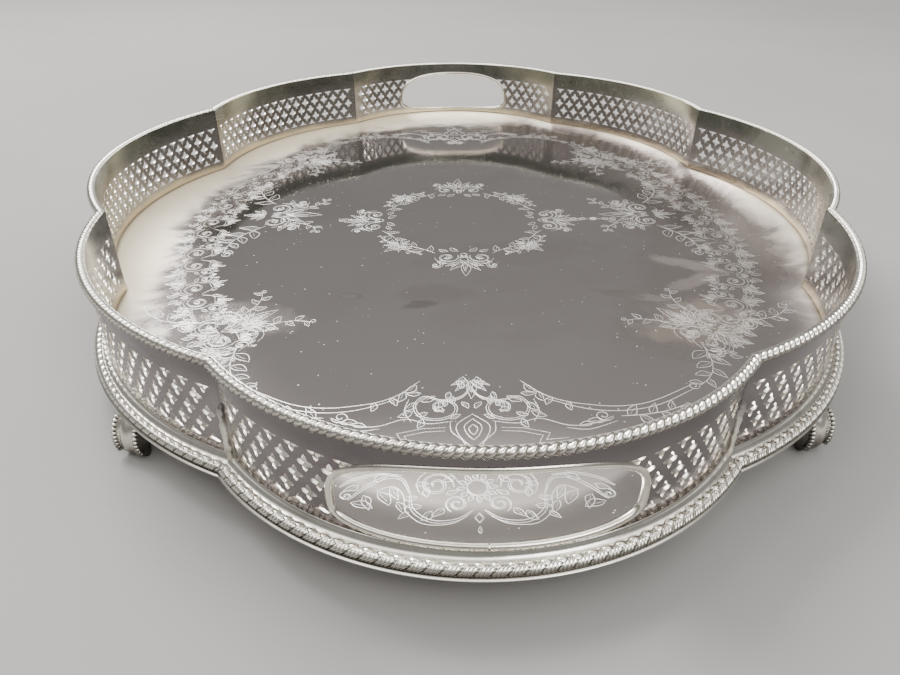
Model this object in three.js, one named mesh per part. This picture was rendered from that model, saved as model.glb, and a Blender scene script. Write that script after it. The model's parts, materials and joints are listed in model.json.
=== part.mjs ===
// An oval silver gallery tray (salver): a dished plate on four cast feet, with a scalloped
// pierced gallery of eight curved panels, a rope rim, a base border and two hooped handle openings.
// Millimetres. +X right, +Y back, +Z up; the origin is on the table under the middle of the plate.
import * as THREE from "three";

// --- driving dimensions -------------------------------------------------------------------
// Plan: eight outward arcs ("lobes") meet at cusps. Two cusps give all eight by mirroring.
const END_CUSP = [90, 227]; // between a handle lobe and a corner lobe
const SIDE_CUSP = [178, 98]; // between a corner lobe and a side lobe
const END_RISE = 45; // how far each arc stands out from the chord between its cusps
const CORNER_RISE = 21.5;
const SIDE_RISE = 32;

// Heights above the table.
const PLATE_TOP = 20; // flat middle of the plate
const LEDGE_TOP = 24; // edge of the plate, which carries the gallery
const PLATE_THICKNESS = 1.4;
const GALLERY_TOP = 64.2;
const RIM_CENTRE = 66.7;
const BORDER_BOTTOM = 19.4;

// Distances out from the gallery's middle surface (negative is towards the centre).
const WALL = 1.2; // thickness of the gallery sheet
const PLATE_EDGE = 0.8;
const LEDGE_INNER = -3;
const SLOPE_INNER = -24; // where the plate's slope runs out into its flat middle
const SLOPE_MIDDLE = -12;
const SLOPE_MIDDLE_RISE = 1.3; // above the flat middle: the slope is hollow, steeper near the wall
const RIM_OFFSET = 1.4;
const RIM_RADIUS = 2;

const GAP = 0.3; // clearance between pieces that are soldered together
const ARC_STEP = 16; // longest straight step along an arc

// Piercing: three staggered rows of diamonds.
const PITCH = 9.35; // along a row
const ROW_STEP = 6.2; // from row to row
const MIDDLE_ROW = 42.5; // height of the middle row
const HOLE_HALF_WIDTH = 3.1;
const HOLE_HALF_HEIGHT = 3.9;
const END_MARGIN = 6.6; // from a panel's end to the first diamond's middle

// Handle opening: an oval with a high crown and a flat foot, edged by a wire hoop.
const OPENING_HALF_WIDTH = 49.8;
const OPENING_MIDDLE = 38.5; // height at which it is widest
const OPENING_CROWN = 19; // rise above that height
const OPENING_DROP = 10.1; // fall below it
const CROWN_POWER = 2.6; // superellipse powers: 2 is an ellipse, more is squarer
const DROP_POWER = 4;
const OPENING_SLABS = 18; // the sheet above and below the opening is cut into this many slabs
const HOOP_RADIUS = 1.3;
const HOOP_STEPS = 36;
const HOOP_QUARTER_SIDES = 3;

// Feet, under the corner lobes.
const FOOT_ANGLE = 43.5; // degrees from the X axis to the way a foot points
const FOOT_WIDTH = 14;
const FOOT_BEVEL = 1.5;

// --- plan of the scallops -----------------------------------------------------------------
const rotateQuarter = ([x, y]) => [-y, x];
const dot = (a, b) => a[0] * b[0] + a[1] * b[1];

/** The arc that bulges to the right of the way from one cusp to the next by the given rise. */
function makeLobe(name, from, to, rise) {
  const chord = [to[0] - from[0], to[1] - from[1]];
  const half = Math.hypot(...chord) / 2;
  const radius = (half * half + rise * rise) / (2 * rise);
  const inward = rotateQuarter(chord).map((v) => v / (2 * half));
  const centre = [0, 1].map((k) => (from[k] + to[k]) / 2 + inward[k] * (radius - rise));
  const start = Math.atan2(from[1] - centre[1], from[0] - centre[0]);
  const sweep = 2 * Math.asin(half / radius);
  return { name, from, to, centre, radius, start, end: start + sweep, length: radius * sweep };
}

const [EX, EY] = END_CUSP;
const [SX, SY] = SIDE_CUSP;
const LOBES = [
  makeLobe("right_front", [EX, -EY], [SX, -SY], CORNER_RISE),
  makeLobe("right_side", [SX, -SY], [SX, SY], SIDE_RISE),
  makeLobe("right_back", [SX, SY], [EX, EY], CORNER_RISE),
  makeLobe("back_handle", [EX, EY], [-EX, EY], END_RISE),
  makeLobe("left_back", [-EX, EY], [-SX, SY], CORNER_RISE),
  makeLobe("left_side", [-SX, SY], [-SX, -SY], SIDE_RISE),
  makeLobe("left_front", [-SX, -SY], [-EX, -EY], CORNER_RISE),
  makeLobe("front_handle", [-EX, -EY], [EX, -EY], END_RISE),
];

// At a cusp two lobes are mitred: each stops GAP / 2 short of the plane that halves the corner.
LOBES.forEach((lobe, i) => {
  const next = LOBES[(i + 1) % LOBES.length];
  const heading = (angle) => [-Math.sin(angle), Math.cos(angle)];
  const a = heading(lobe.end);
  const b = heading(next.start);
  const size = Math.hypot(a[0] + b[0], a[1] + b[1]);
  const along = [(a[0] + b[0]) / size, (a[1] + b[1]) / size];
  next.startMitre = along;
  lobe.endMitre = [-along[0], -along[1]];
});

/** Angle at which the lobe's arc, moved out by offset, meets the mitre plane at one of its ends. */
function mitredAngle(lobe, offset, cusp, normal, plain, gap) {
  const reach = gap + dot([cusp[0] - lobe.centre[0], cusp[1] - lobe.centre[1]], normal);
  const facing = Math.atan2(normal[1], normal[0]);
  const spread = Math.acos(reach / (lobe.radius + offset));
  const turn = (angle) => Math.atan2(Math.sin(angle - plain), Math.cos(angle - plain));
  const choices = [turn(facing + spread), turn(facing - spread)];
  return plain + choices.sort((p, q) => Math.abs(p) - Math.abs(q))[0];
}

/** Point at fraction u along a lobe, moved out by offset, at height z. */
function place(lobe, u, offset, z, gap = GAP / 2) {
  const a = mitredAngle(lobe, offset, lobe.from, lobe.startMitre, lobe.start, gap);
  const b = mitredAngle(lobe, offset, lobe.to, lobe.endMitre, lobe.end, gap);
  const angle = a + (b - a) * u;
  const r = lobe.radius + offset;
  return new THREE.Vector3(
    lobe.centre[0] + r * Math.cos(angle),
    lobe.centre[1] + r * Math.sin(angle),
    z,
  );
}

const stepsAlong = (lobe) => Math.ceil(lobe.length / ARC_STEP);

// --- solids -------------------------------------------------------------------------------
/** A closed section of (offset, height) points swept along a lobe, with mitred ends. */
function sweepAlongLobe(lobe, section) {
  const shape = new THREE.Shape(section.map(([offset, z]) => new THREE.Vector2(offset, z)));
  const steps = stepsAlong(lobe);
  const geometry = new THREE.ExtrudeGeometry(shape, { depth: 1, steps, bevelEnabled: false });
  const position = geometry.getAttribute("position");
  // The straight bar is bent round the arc. Its ends swap, so that its faces still point out.
  for (let i = 0; i < position.count; i++) {
    const u = 1 - position.getZ(i);
    place(lobe, u, position.getX(i), position.getY(i)).toArray(position.array, i * 3);
  }
  return geometry;
}

/** Gives flat (along, height) polygons that share their edges a thickness, bent round a lobe. */
function bendSheet(lobe, polygons) {
  const points = [];
  const indexOf = new Map();
  const indexFor = (point) => {
    const key = point.map((v) => v.toFixed(3)).join();
    if (!indexOf.has(key)) indexOf.set(key, points.push(point) - 1);
    return indexOf.get(key);
  };
  const triangles = polygons.flatMap((polygon) => {
    const contour = polygon.map(([s, z]) => new THREE.Vector2(s, z));
    return THREE.ShapeUtils.triangulateShape(contour, []).map((face) => {
      const isTurned = THREE.ShapeUtils.isClockWise(face.map((k) => contour[k]));
      const corners = face.map((k) => indexFor(polygon[k]));
      return isTurned ? corners.reverse() : corners;
    });
  });
  const count = points.length;
  const sides = triangles.flatMap(([a, b, c]) => [[a, b], [b, c], [c, a]]);
  const known = new Set(sides.map(([a, b]) => a + ":" + b));
  const edges = sides.filter(([a, b]) => !known.has(b + ":" + a));
  const outer = triangles.flat();
  const inner = triangles.flatMap(([a, b, c]) => [a + count, c + count, b + count]);
  const rims = edges.flatMap(([a, b]) => [a, a + count, b, b, a + count, b + count]);
  const layer = (offset) => points.flatMap(([s, z]) => place(lobe, s / lobe.length, offset, z).toArray());
  const geometry = new THREE.BufferGeometry();
  const positions = [...layer(WALL / 2), ...layer(-WALL / 2)];
  geometry.setAttribute("position", new THREE.Float32BufferAttribute(positions, 3));
  geometry.setIndex([...outer, ...inner, ...rims]);
  return geometry;
}

// --- gallery panels -----------------------------------------------------------------------
const PANEL_BOTTOM = LEDGE_TOP + GAP;
const LOW_ROW = MIDDLE_ROW - ROW_STEP;
const HIGH_ROW = MIDDLE_ROW + ROW_STEP;

/** The four corners of the diamond round (s, z). */
const diamond = (s, z) => ({
  left: [s - HOLE_HALF_WIDTH, z],
  right: [s + HOLE_HALF_WIDTH, z],
  top: [s, z + HOLE_HALF_HEIGHT],
  bottom: [s, z - HOLE_HALF_HEIGHT],
});

/** The metal between the diamonds from s0 over a number of pitches, without its two ends. */
function latticePolygons(s0, pitches) {
  const polygons = [];
  for (let i = 0; i < pitches; i++) {
    const s = s0 + i * PITCH;
    const [low, lowNext] = [diamond(s, LOW_ROW), diamond(s + PITCH, LOW_ROW)];
    const [high, highNext] = [diamond(s, HIGH_ROW), diamond(s + PITCH, HIGH_ROW)];
    const mid = diamond(s + PITCH / 2, MIDDLE_ROW);
    polygons.push(
      [[s, PANEL_BOTTOM], [s + PITCH, PANEL_BOTTOM], lowNext.bottom, lowNext.left, low.right, low.bottom],
      [low.right, lowNext.left, mid.bottom],
      [low.top, low.right, mid.bottom, mid.left],
      [mid.right, mid.bottom, lowNext.left, lowNext.top],
      [low.top, mid.left, high.bottom],
      [lowNext.top, highNext.bottom, mid.right],
      [mid.left, mid.top, high.right, high.bottom],
      [mid.top, mid.right, highNext.bottom, highNext.left],
      [mid.top, highNext.left, high.right],
      [high.top, high.right, highNext.left, highNext.top, [s + PITCH, GALLERY_TOP], [s, GALLERY_TOP]],
    );
  }
  return polygons;
}

/** The plain strip that closes the lattice at s, out to the straight edge at sEdge. */
function endPolygon(s, sEdge) {
  const side = sEdge < s ? "left" : "right";
  const [low, high] = [diamond(s, LOW_ROW), diamond(s, HIGH_ROW)];
  return [
    [sEdge, PANEL_BOTTOM],
    [s, PANEL_BOTTOM],
    low.bottom,
    low[side],
    low.top,
    high.bottom,
    high[side],
    high.top,
    [s, GALLERY_TOP],
    [sEdge, GALLERY_TOP],
  ];
}

/** A panel pierced all over, as on the sides and the corners. */
function latticePanel(lobe) {
  const pitches = Math.floor((lobe.length - 2 * END_MARGIN) / PITCH);
  const s0 = (lobe.length - pitches * PITCH) / 2;
  const s1 = s0 + pitches * PITCH;
  const ends = [endPolygon(s0, 0), endPolygon(s1, lobe.length)];
  return bendSheet(lobe, [...latticePolygons(s0, pitches), ...ends]);
}

/** Height of the handle opening's edge above or below its middle, at x of its half width. */
function openingEdge(x, grow, isCrown) {
  const power = isCrown ? CROWN_POWER : DROP_POWER;
  const height = (isCrown ? OPENING_CROWN : OPENING_DROP) + grow;
  const share = Math.max(0, 1 - Math.abs(x) ** power) ** (1 / power);
  return OPENING_MIDDLE + (isCrown ? 1 : -1) * height * share;
}

/** A panel with the hooped opening in its middle and lattice on both sides of it. */
function handlePanel(lobe) {
  const grow = 2 * HOOP_RADIUS + GAP;
  const middle = lobe.length / 2;
  const halfWidth = OPENING_HALF_WIDTH + grow;
  const pitches = Math.floor((middle - halfWidth - END_MARGIN - HOLE_HALF_WIDTH) / PITCH);
  const leftEnd = END_MARGIN + pitches * PITCH;
  const rightStart = lobe.length - leftEnd;
  const polygons = [
    endPolygon(END_MARGIN, 0),
    ...latticePolygons(END_MARGIN, pitches),
    ...latticePolygons(rightStart, pitches),
    endPolygon(lobe.length - END_MARGIN, lobe.length),
  ];
  const [left, right] = [middle - halfWidth, middle + halfWidth];
  const sideStrip = (s, sEdge) => [...endPolygon(s, sEdge), [sEdge, OPENING_MIDDLE]];
  polygons.push(sideStrip(leftEnd, left), sideStrip(rightStart, right));
  const station = (k) => -Math.cos((Math.PI * k) / OPENING_SLABS);
  for (let k = 0; k < OPENING_SLABS; k++) {
    const [x0, x1] = [station(k), station(k + 1)];
    const [s0, s1] = [middle + halfWidth * x0, middle + halfWidth * x1];
    for (const isCrown of [true, false]) {
      const outer = isCrown ? GALLERY_TOP : PANEL_BOTTOM;
      const [z0, z1] = [openingEdge(x0, grow, isCrown), openingEdge(x1, grow, isCrown)];
      polygons.push([[s0, z0], [s1, z1], [s1, outer], [s0, outer]]);
    }
  }
  return bendSheet(lobe, polygons);
}

/** The middle line of the hoop: once round the opening, from its foot, stopping GAP short. */
class HoopCurve extends THREE.Curve {
  constructor(lobe) {
    super();
    this.lobe = lobe;
  }
  getPoint(t) {
    const halfWidth = OPENING_HALF_WIDTH + HOOP_RADIUS;
    const joint = GAP / halfWidth / 2;
    const turn = -Math.PI / 2 + joint + t * 2 * (Math.PI - joint);
    const isCrown = turn > 0 && turn < Math.PI;
    const power = isCrown ? CROWN_POWER : DROP_POWER;
    const x = Math.sign(Math.cos(turn)) * Math.abs(Math.cos(turn)) ** (2 / power);
    const z = openingEdge(x, HOOP_RADIUS, isCrown);
    const u = 0.5 + (halfWidth * x) / this.lobe.length;
    return place(this.lobe, u, 0, z);
  }
}

function hoop(lobe) {
  const section = new THREE.Shape();
  section.absarc(0, 0, HOOP_RADIUS, 0, 2 * Math.PI);
  return new THREE.ExtrudeGeometry(section, {
    steps: HOOP_STEPS,
    curveSegments: HOOP_QUARTER_SIDES,
    bevelEnabled: false,
    extrudePath: new HoopCurve(lobe),
  });
}

// --- rim, border, plate and feet -----------------------------------------------------------
const RIM_SIDES = 6;
const RIM_SECTION = Array.from({ length: RIM_SIDES }, (_, k) => {
  const turn = (2 * Math.PI * (k + 0.5)) / RIM_SIDES;
  return [RIM_OFFSET + RIM_RADIUS * Math.cos(turn), RIM_CENTRE + RIM_RADIUS * Math.sin(turn)];
});

// From the gallery outwards: a smooth cove, the rope's round back and a thin lip.
const BORDER_SECTION = [
  [1.3, BORDER_BOTTOM],
  [7.5, BORDER_BOTTOM],
  [7.5, 21],
  [6.6, 23.2],
  [4.6, 24.3],
  [2.6, 24.8],
  [1.3, 25.8],
];

/** One dished sheet: rings of points that follow the scallops, closed above and below. */
function plate() {
  const bottom = (z) => z - PLATE_THICKNESS;
  const rings = [
    [SLOPE_INNER, PLATE_TOP],
    [SLOPE_MIDDLE, PLATE_TOP + SLOPE_MIDDLE_RISE],
    [LEDGE_INNER, LEDGE_TOP],
    [PLATE_EDGE, LEDGE_TOP],
    [PLATE_EDGE, bottom(LEDGE_TOP)],
    [LEDGE_INNER, bottom(LEDGE_TOP)],
    [SLOPE_INNER, bottom(PLATE_TOP)],
  ];
  const positions = rings.flatMap(([offset, z]) =>
    LOBES.flatMap((lobe) =>
      Array.from({ length: stepsAlong(lobe) }, (_, k) =>
        place(lobe, k / stepsAlong(lobe), offset, z, 0).toArray(),
      ),
    ),
  );
  const around = positions.length / rings.length;
  const at = (ring, k) => ring * around + (k % around);
  const [topMiddle, bottomMiddle] = [positions.length, positions.length + 1];
  positions.push([0, 0, PLATE_TOP], [0, 0, bottom(PLATE_TOP)]);
  const faces = [];
  for (let k = 0; k < around; k++) {
    faces.push(topMiddle, at(0, k), at(0, k + 1));
    faces.push(bottomMiddle, at(rings.length - 1, k + 1), at(rings.length - 1, k));
    for (let ring = 0; ring + 1 < rings.length; ring++) {
      const [a, b] = [at(ring, k), at(ring, k + 1)];
      const [c, d] = [at(ring + 1, k), at(ring + 1, k + 1)];
      faces.push(a, c, b, b, c, d);
    }
  }
  const geometry = new THREE.BufferGeometry();
  geometry.setAttribute("position", new THREE.Float32BufferAttribute(positions.flat(), 3));
  geometry.setIndex(faces);
  return geometry;
}

// Side view of a foot inside its bevel: (out from the gallery, height). A head under the border, a
// front that bulges past it, and a flat sole below the bulge.
const FOOT_HEAD = BORDER_BOTTOM - GAP - FOOT_BEVEL;
const FOOT_SOLE = FOOT_BEVEL;
const FOOT_SIDE = [
  [-1.5, FOOT_HEAD],
  [5.5, FOOT_HEAD],
  [9, 14.8],
  [10.8, 11.2],
  [10.7, 7],
  [9.4, 3.6],
  [8, FOOT_SOLE],
  [5.2, FOOT_SOLE],
  [4.8, 5.5],
  [4.4, 9.6],
  [1.6, 13.6],
];

/** A scroll foot, turned so that its side view stands up: x runs outwards and y runs up. */
function foot() {
  const side = new THREE.Shape(FOOT_SIDE.map(([out, up]) => new THREE.Vector2(out, up)));
  const geometry = new THREE.ExtrudeGeometry(side, {
    depth: FOOT_WIDTH - 2 * FOOT_BEVEL,
    bevelThickness: FOOT_BEVEL,
    bevelSize: FOOT_BEVEL,
    bevelSegments: 2,
  });
  geometry.translate(0, 0, FOOT_BEVEL - FOOT_WIDTH / 2);
  geometry.rotateX(Math.PI / 2);
  return geometry;
}

// --- assembly -----------------------------------------------------------------------------
const silver = (color, roughness) => new THREE.MeshStandardMaterial({ color, roughness, metalness: 1 });

const salver = new THREE.Group();
function addPiece(name, geometry, material) {
  const mesh = new THREE.Mesh(geometry, material);
  mesh.name = name;
  salver.add(mesh);
  return mesh;
}

addPiece("tray_plate", plate(), silver("#d8d2c4", 0.12));
for (const lobe of LOBES) {
  const hasOpening = lobe.name.endsWith("handle");
  const panel = hasOpening ? handlePanel(lobe) : latticePanel(lobe);
  addPiece(lobe.name + "_panel", panel, silver("#b9b3a6", 0.24));
  addPiece(lobe.name + "_rope_rim", sweepAlongLobe(lobe, RIM_SECTION), silver("#e6e0d2", 0.28));
  addPiece(lobe.name + "_base_border", sweepAlongLobe(lobe, BORDER_SECTION), silver("#e2dccd", 0.26));
  if (hasOpening) addPiece(lobe.name + "_hoop", hoop(lobe), silver("#e0dacb", 0.2));
}

const footTurn = (FOOT_ANGLE * Math.PI) / 180;
const frontRight = LOBES[0];
for (const [name, sideX, sideY] of [
  ["right_front_foot", 1, -1],
  ["right_back_foot", 1, 1],
  ["left_back_foot", -1, 1],
  ["left_front_foot", -1, -1],
]) {
  const direction = Math.atan2(sideY * Math.sin(footTurn), sideX * Math.cos(footTurn));
  const mesh = addPiece(name, foot(), silver("#cfc8b8", 0.3));
  const [cx, cy] = [frontRight.centre[0] * sideX, -frontRight.centre[1] * sideY];
  mesh.position.set(
    cx + frontRight.radius * Math.cos(direction),
    cy + frontRight.radius * Math.sin(direction),
    0,
  );
  mesh.rotation.z = direction;
}

export default salver;
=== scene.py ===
# %% [markdown]
# # A silver gallery tray
# The tray is a dished, engraved plate inside a pierced wall of eight curved panels. A rope runs along
# the top of the wall, a gadrooned border round its foot, wire hoops edge the two hand openings, and
# four cast scroll feet carry it. The CAD frame is loaded first: every piece below is placed by it.

# %% Load the frame
import json
import math

import bpy
from mathutils import Matrix, Vector

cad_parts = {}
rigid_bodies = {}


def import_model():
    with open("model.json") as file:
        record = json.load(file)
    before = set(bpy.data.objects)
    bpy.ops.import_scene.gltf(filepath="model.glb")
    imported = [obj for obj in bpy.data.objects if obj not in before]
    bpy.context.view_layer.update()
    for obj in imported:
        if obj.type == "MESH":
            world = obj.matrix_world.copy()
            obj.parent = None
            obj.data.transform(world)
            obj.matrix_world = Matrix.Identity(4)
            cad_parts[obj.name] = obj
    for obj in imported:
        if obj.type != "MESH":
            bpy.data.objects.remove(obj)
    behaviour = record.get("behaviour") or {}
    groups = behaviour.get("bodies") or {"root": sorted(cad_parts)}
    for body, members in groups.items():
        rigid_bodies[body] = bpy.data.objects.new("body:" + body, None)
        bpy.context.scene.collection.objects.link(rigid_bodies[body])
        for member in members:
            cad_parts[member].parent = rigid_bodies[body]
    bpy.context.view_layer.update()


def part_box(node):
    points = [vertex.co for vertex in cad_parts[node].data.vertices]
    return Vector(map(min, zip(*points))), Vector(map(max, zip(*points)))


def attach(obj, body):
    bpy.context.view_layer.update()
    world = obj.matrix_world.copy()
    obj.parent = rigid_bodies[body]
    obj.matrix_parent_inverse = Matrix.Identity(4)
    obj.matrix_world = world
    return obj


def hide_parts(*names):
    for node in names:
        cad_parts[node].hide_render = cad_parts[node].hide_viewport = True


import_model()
MM = 0.001

# %% [markdown]
# ## The plan
# Seen from above the wall is eight arcs that bulge outwards and meet at inward cusps. Two cusps and
# three rises give them all by mirroring. Each piece of the wall is modelled as a straight bar or a
# flat sheet along X, with its outside towards -Y, then bent round its arc and mitred at the cusps.

# %% The eight arcs
END_CUSP = Vector((90, 227, 0)) * MM
SIDE_CUSP = Vector((178, 98, 0)) * MM
END_RISE = 45 * MM
CORNER_RISE = 21.5 * MM
SIDE_RISE = 32 * MM


def mirrored(point, x, y):
    return Vector((point.x * x, point.y * y, 0))


def make_arc(name, start, end, rise):
    chord = end - start
    half = chord.length / 2
    radius = (half * half + rise * rise) / (2 * rise)
    outward = Vector((chord.y, -chord.x, 0)).normalized()
    centre = (start + end) / 2 - outward * (radius - rise)
    sweep = 2 * math.asin(half / radius)
    return {"name": name, "start": start, "end": end, "centre": centre, "radius": radius,
            "sweep": sweep, "facing": math.atan2(outward.y, outward.x), "length": radius * sweep}


ARCS = [
    make_arc("right_front", mirrored(END_CUSP, 1, -1), mirrored(SIDE_CUSP, 1, -1), CORNER_RISE),
    make_arc("right_side", mirrored(SIDE_CUSP, 1, -1), mirrored(SIDE_CUSP, 1, 1), SIDE_RISE),
    make_arc("right_back", mirrored(SIDE_CUSP, 1, 1), mirrored(END_CUSP, 1, 1), CORNER_RISE),
    make_arc("back_handle", mirrored(END_CUSP, 1, 1), mirrored(END_CUSP, -1, 1), END_RISE),
    make_arc("left_back", mirrored(END_CUSP, -1, 1), mirrored(SIDE_CUSP, -1, 1), CORNER_RISE),
    make_arc("left_side", mirrored(SIDE_CUSP, -1, 1), mirrored(SIDE_CUSP, -1, -1), SIDE_RISE),
    make_arc("left_front", mirrored(SIDE_CUSP, -1, -1), mirrored(END_CUSP, -1, -1), CORNER_RISE),
    make_arc("front_handle", mirrored(END_CUSP, -1, -1), mirrored(END_CUSP, 1, -1), END_RISE),
]


def heading(arc, turn):
    """The way along the arc, turn radians from its middle."""
    angle = arc["facing"] + turn
    return Vector((-math.sin(angle), math.cos(angle), 0))


for i, arc in enumerate(ARCS):
    following = ARCS[(i + 1) % len(ARCS)]
    along = heading(arc, arc["sweep"] / 2) + heading(following, -following["sweep"] / 2)
    arc["end_mitre"] = along.normalized()
    following["start_mitre"] = along.normalized()
print("arc lengths, mm:", [round(a["length"] / MM, 1) for a in ARCS[:4]])

# %% [markdown]
# ## Tools for the bench
# Small helpers keep the selection clean, which matters because an operator acts on all that is
# selected. A profile is drawn as by hand: one vertex is extruded from point to point and the loop is
# filled. Repeating the extrusion makes a bar with enough cuts along it to bend smoothly.

# %% Selecting and applying
def only(*objects):
    if bpy.context.object and bpy.context.object.mode != "OBJECT":
        bpy.ops.object.mode_set(mode="OBJECT")
    bpy.ops.object.select_all(action="DESELECT")
    for o in objects:
        o.select_set(True)
    bpy.context.view_layer.objects.active = objects[-1]


def edit(piece, select=None):
    """Edit mode with everything selected, or the vertices that pass a test."""
    only(piece)
    bpy.ops.object.mode_set(mode="EDIT")
    bpy.ops.mesh.select_mode(type="VERT")
    bpy.ops.mesh.select_all(action="DESELECT" if select else "SELECT")
    if select:
        bpy.ops.object.mode_set(mode="OBJECT")
        for v in piece.data.vertices:
            v.select = bool(select(v.co))
        bpy.ops.object.mode_set(mode="EDIT")


def done():
    bpy.ops.object.mode_set(mode="OBJECT")


def fix_place(piece):
    only(piece)
    bpy.ops.object.transform_apply(location=True, rotation=True, scale=True)


def apply_modifier(piece, kind, **settings):
    only(piece)
    modifier = piece.modifiers.new(kind.lower(), kind)
    for key, value in settings.items():
        setattr(modifier, key, value)
    bpy.ops.object.modifier_apply(modifier=modifier.name)


def repeat(piece, count, step):
    apply_modifier(piece, "ARRAY", count=count, use_relative_offset=False,
                   use_constant_offset=True, constant_offset_displace=step)


def copy_of(piece, name):
    other = piece.copy()
    other.data = piece.data.copy()
    other.name = name
    bpy.context.scene.collection.objects.link(other)
    return other


def join(name, *pieces):
    only(*pieces)
    bpy.ops.object.join()
    joined = bpy.context.object
    joined.name = name
    return joined


def outward_faces(piece):
    edit(piece)
    bpy.ops.mesh.normals_make_consistent(inside=False)
    done()


def smooth(piece, degrees=35):
    only(piece)
    bpy.ops.object.shade_smooth_by_angle(angle=math.radians(degrees))


def triangles(piece):
    return sum(len(p.vertices) - 2 for p in piece.data.polygons)


# %% Drawing a profile and running a bar
def draw_profile(name, points):
    """A filled outline in the YZ plane from (distance outwards, height) points in millimetres."""
    bpy.ops.mesh.primitive_plane_add(size=MM)
    piece = bpy.context.object
    piece.name = name
    bpy.ops.object.mode_set(mode="EDIT")
    bpy.ops.mesh.merge(type="CENTER")
    places = [Vector((0, -out, up)) * MM for out, up in points]
    bpy.ops.transform.translate(value=places[0])
    for here, there in zip(places, places[1:]):
        bpy.ops.mesh.extrude_region_move(TRANSFORM_OT_translate={"value": there - here})
    bpy.ops.mesh.select_all(action="SELECT")
    bpy.ops.mesh.edge_face_add()
    done()
    return piece


def bar(name, points, length, step=2.5 * MM):
    piece = draw_profile(name, points)
    cuts = math.ceil(length / step)
    edit(piece)
    bpy.ops.transform.translate(value=(-length / 2, 0, 0))
    bpy.ops.mesh.extrude_repeat(steps=cuts, offset=(length / cuts, 0, 0))
    bpy.ops.mesh.select_all(action="SELECT")
    bpy.ops.mesh.normals_make_consistent(inside=False)
    done()
    return piece


# %% Bending round an arc and mitring at the cusps
OVERRUN = 4 * MM
JOINT = 0.05 * MM


def bend_round(piece, arc):
    xs = [v.co.x for v in piece.data.vertices]
    apply_modifier(piece, "SIMPLE_DEFORM", deform_method="BEND", deform_axis="Z",
                   angle=(max(xs) - min(xs)) / arc["radius"])
    facing = arc["facing"]
    outward = Vector((math.cos(facing), math.sin(facing), 0))
    piece.rotation_euler = (0, 0, facing + math.pi / 2)
    piece.location = arc["centre"] + outward * arc["radius"]
    fix_place(piece)


def mitre(piece, arc):
    for point, along, is_start in ((arc["start"], arc["start_mitre"], True),
                                   (arc["end"], arc["end_mitre"], False)):
        edit(piece)
        inward = along if is_start else -along
        bpy.ops.mesh.bisect(plane_co=point + inward * JOINT, plane_no=along, use_fill=True,
                            clear_inner=is_start, clear_outer=not is_start)
        done()

# %% [markdown]
# ## The pierced wall
# The real wall is flat sheet, pierced with rows of four-pointed holes so that a lattice of diagonal
# straps is left, then rolled to a curve. The same order works here: a thin sheet with many upright
# cuts, a row of punches taken out of it by a boolean, and the bend last. The punch is a four-sided
# cylinder whose sides are pulled in. Half punches make the short rows above and below.

# %% Heights and the punch
WALL = 1.2 * MM
WALL_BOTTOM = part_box("right_side_panel")[0].z
WALL_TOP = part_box("right_side_rope_rim")[1].z - 1.2 * MM  # the sheet runs up behind the rope
PITCH = 9.4 * MM
ROW_STEP = 6.2 * MM
MIDDLE_ROW = 42.5 * MM
PUNCH_HALF_WIDTH = 3.4 * MM
PUNCH_HALF_HEIGHT = 3.6 * MM
PUNCH_DEPTH = 8 * MM
WAIST = ((0.5, 0.48 / 0.7), (0.25, 0.67 / 0.7))  # where a side is pulled in, and to what share
SHEET_SHIFT = PITCH / 11  # keeps the sheet's cuts off the corners of the holes
print("wall from", round(WALL_BOTTOM / MM, 1), "to", round(WALL_TOP / MM, 1), "mm")


def make_punch():
    bpy.ops.mesh.primitive_cylinder_add(vertices=4, radius=1, depth=PUNCH_DEPTH,
                                        rotation=(math.pi / 2, 0, 0))
    punch = bpy.context.object
    fix_place(punch)
    edit(punch)
    bpy.ops.mesh.select_mode(type="EDGE")
    bpy.ops.mesh.select_all(action="DESELECT")
    done()
    for e in punch.data.edges:
        a, b = (punch.data.vertices[i].co for i in e.vertices)
        e.select = abs(a.y - b.y) < MM
    only(punch)
    bpy.ops.object.mode_set(mode="EDIT")
    bpy.ops.mesh.subdivide(number_cuts=3)
    done()
    for share, pull in WAIST:
        edit(punch, lambda p: abs(min(abs(p.x), abs(p.z)) - share) < 0.01)
        bpy.ops.transform.resize(value=(pull, 1, pull), center_override=(0, 0, 0))
        done()
    edit(punch)
    bpy.ops.transform.resize(value=(PUNCH_HALF_WIDTH, 1, PUNCH_HALF_HEIGHT),
                             center_override=(0, 0, 0))
    done()
    return punch


def half_of(punch, keep_upper):
    half = copy_of(punch, "half_punch")
    edit(half)
    bpy.ops.mesh.bisect(plane_co=(0, 0, 0), plane_no=(0, 0, 1), use_fill=True,
                        clear_inner=keep_upper, clear_outer=not keep_upper)
    done()
    return half


punch = make_punch()
lower_half, upper_half = half_of(punch, False), half_of(punch, True)
print("punch has", len(punch.data.vertices), "corners")

# %% A flat sheet and its punched rows
def flat_sheet(length):
    bpy.ops.mesh.primitive_grid_add(x_subdivisions=math.ceil(length / (PITCH / 4)),
                                    y_subdivisions=1, size=1)
    sheet = bpy.context.object
    edit(sheet)
    bpy.ops.transform.rotate(value=math.pi / 2, orient_axis="X", center_override=(0, 0, 0))
    bpy.ops.transform.resize(value=(length, 1, WALL_TOP - WALL_BOTTOM))
    middle = (WALL_TOP + WALL_BOTTOM) / 2
    bpy.ops.transform.translate(value=(SHEET_SHIFT, -WALL / 2, middle))
    bpy.ops.mesh.extrude_region_move(TRANSFORM_OT_translate={"value": (0, WALL, 0)})
    bpy.ops.mesh.select_all(action="SELECT")
    bpy.ops.mesh.normals_make_consistent(inside=False)
    done()
    return sheet


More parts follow.
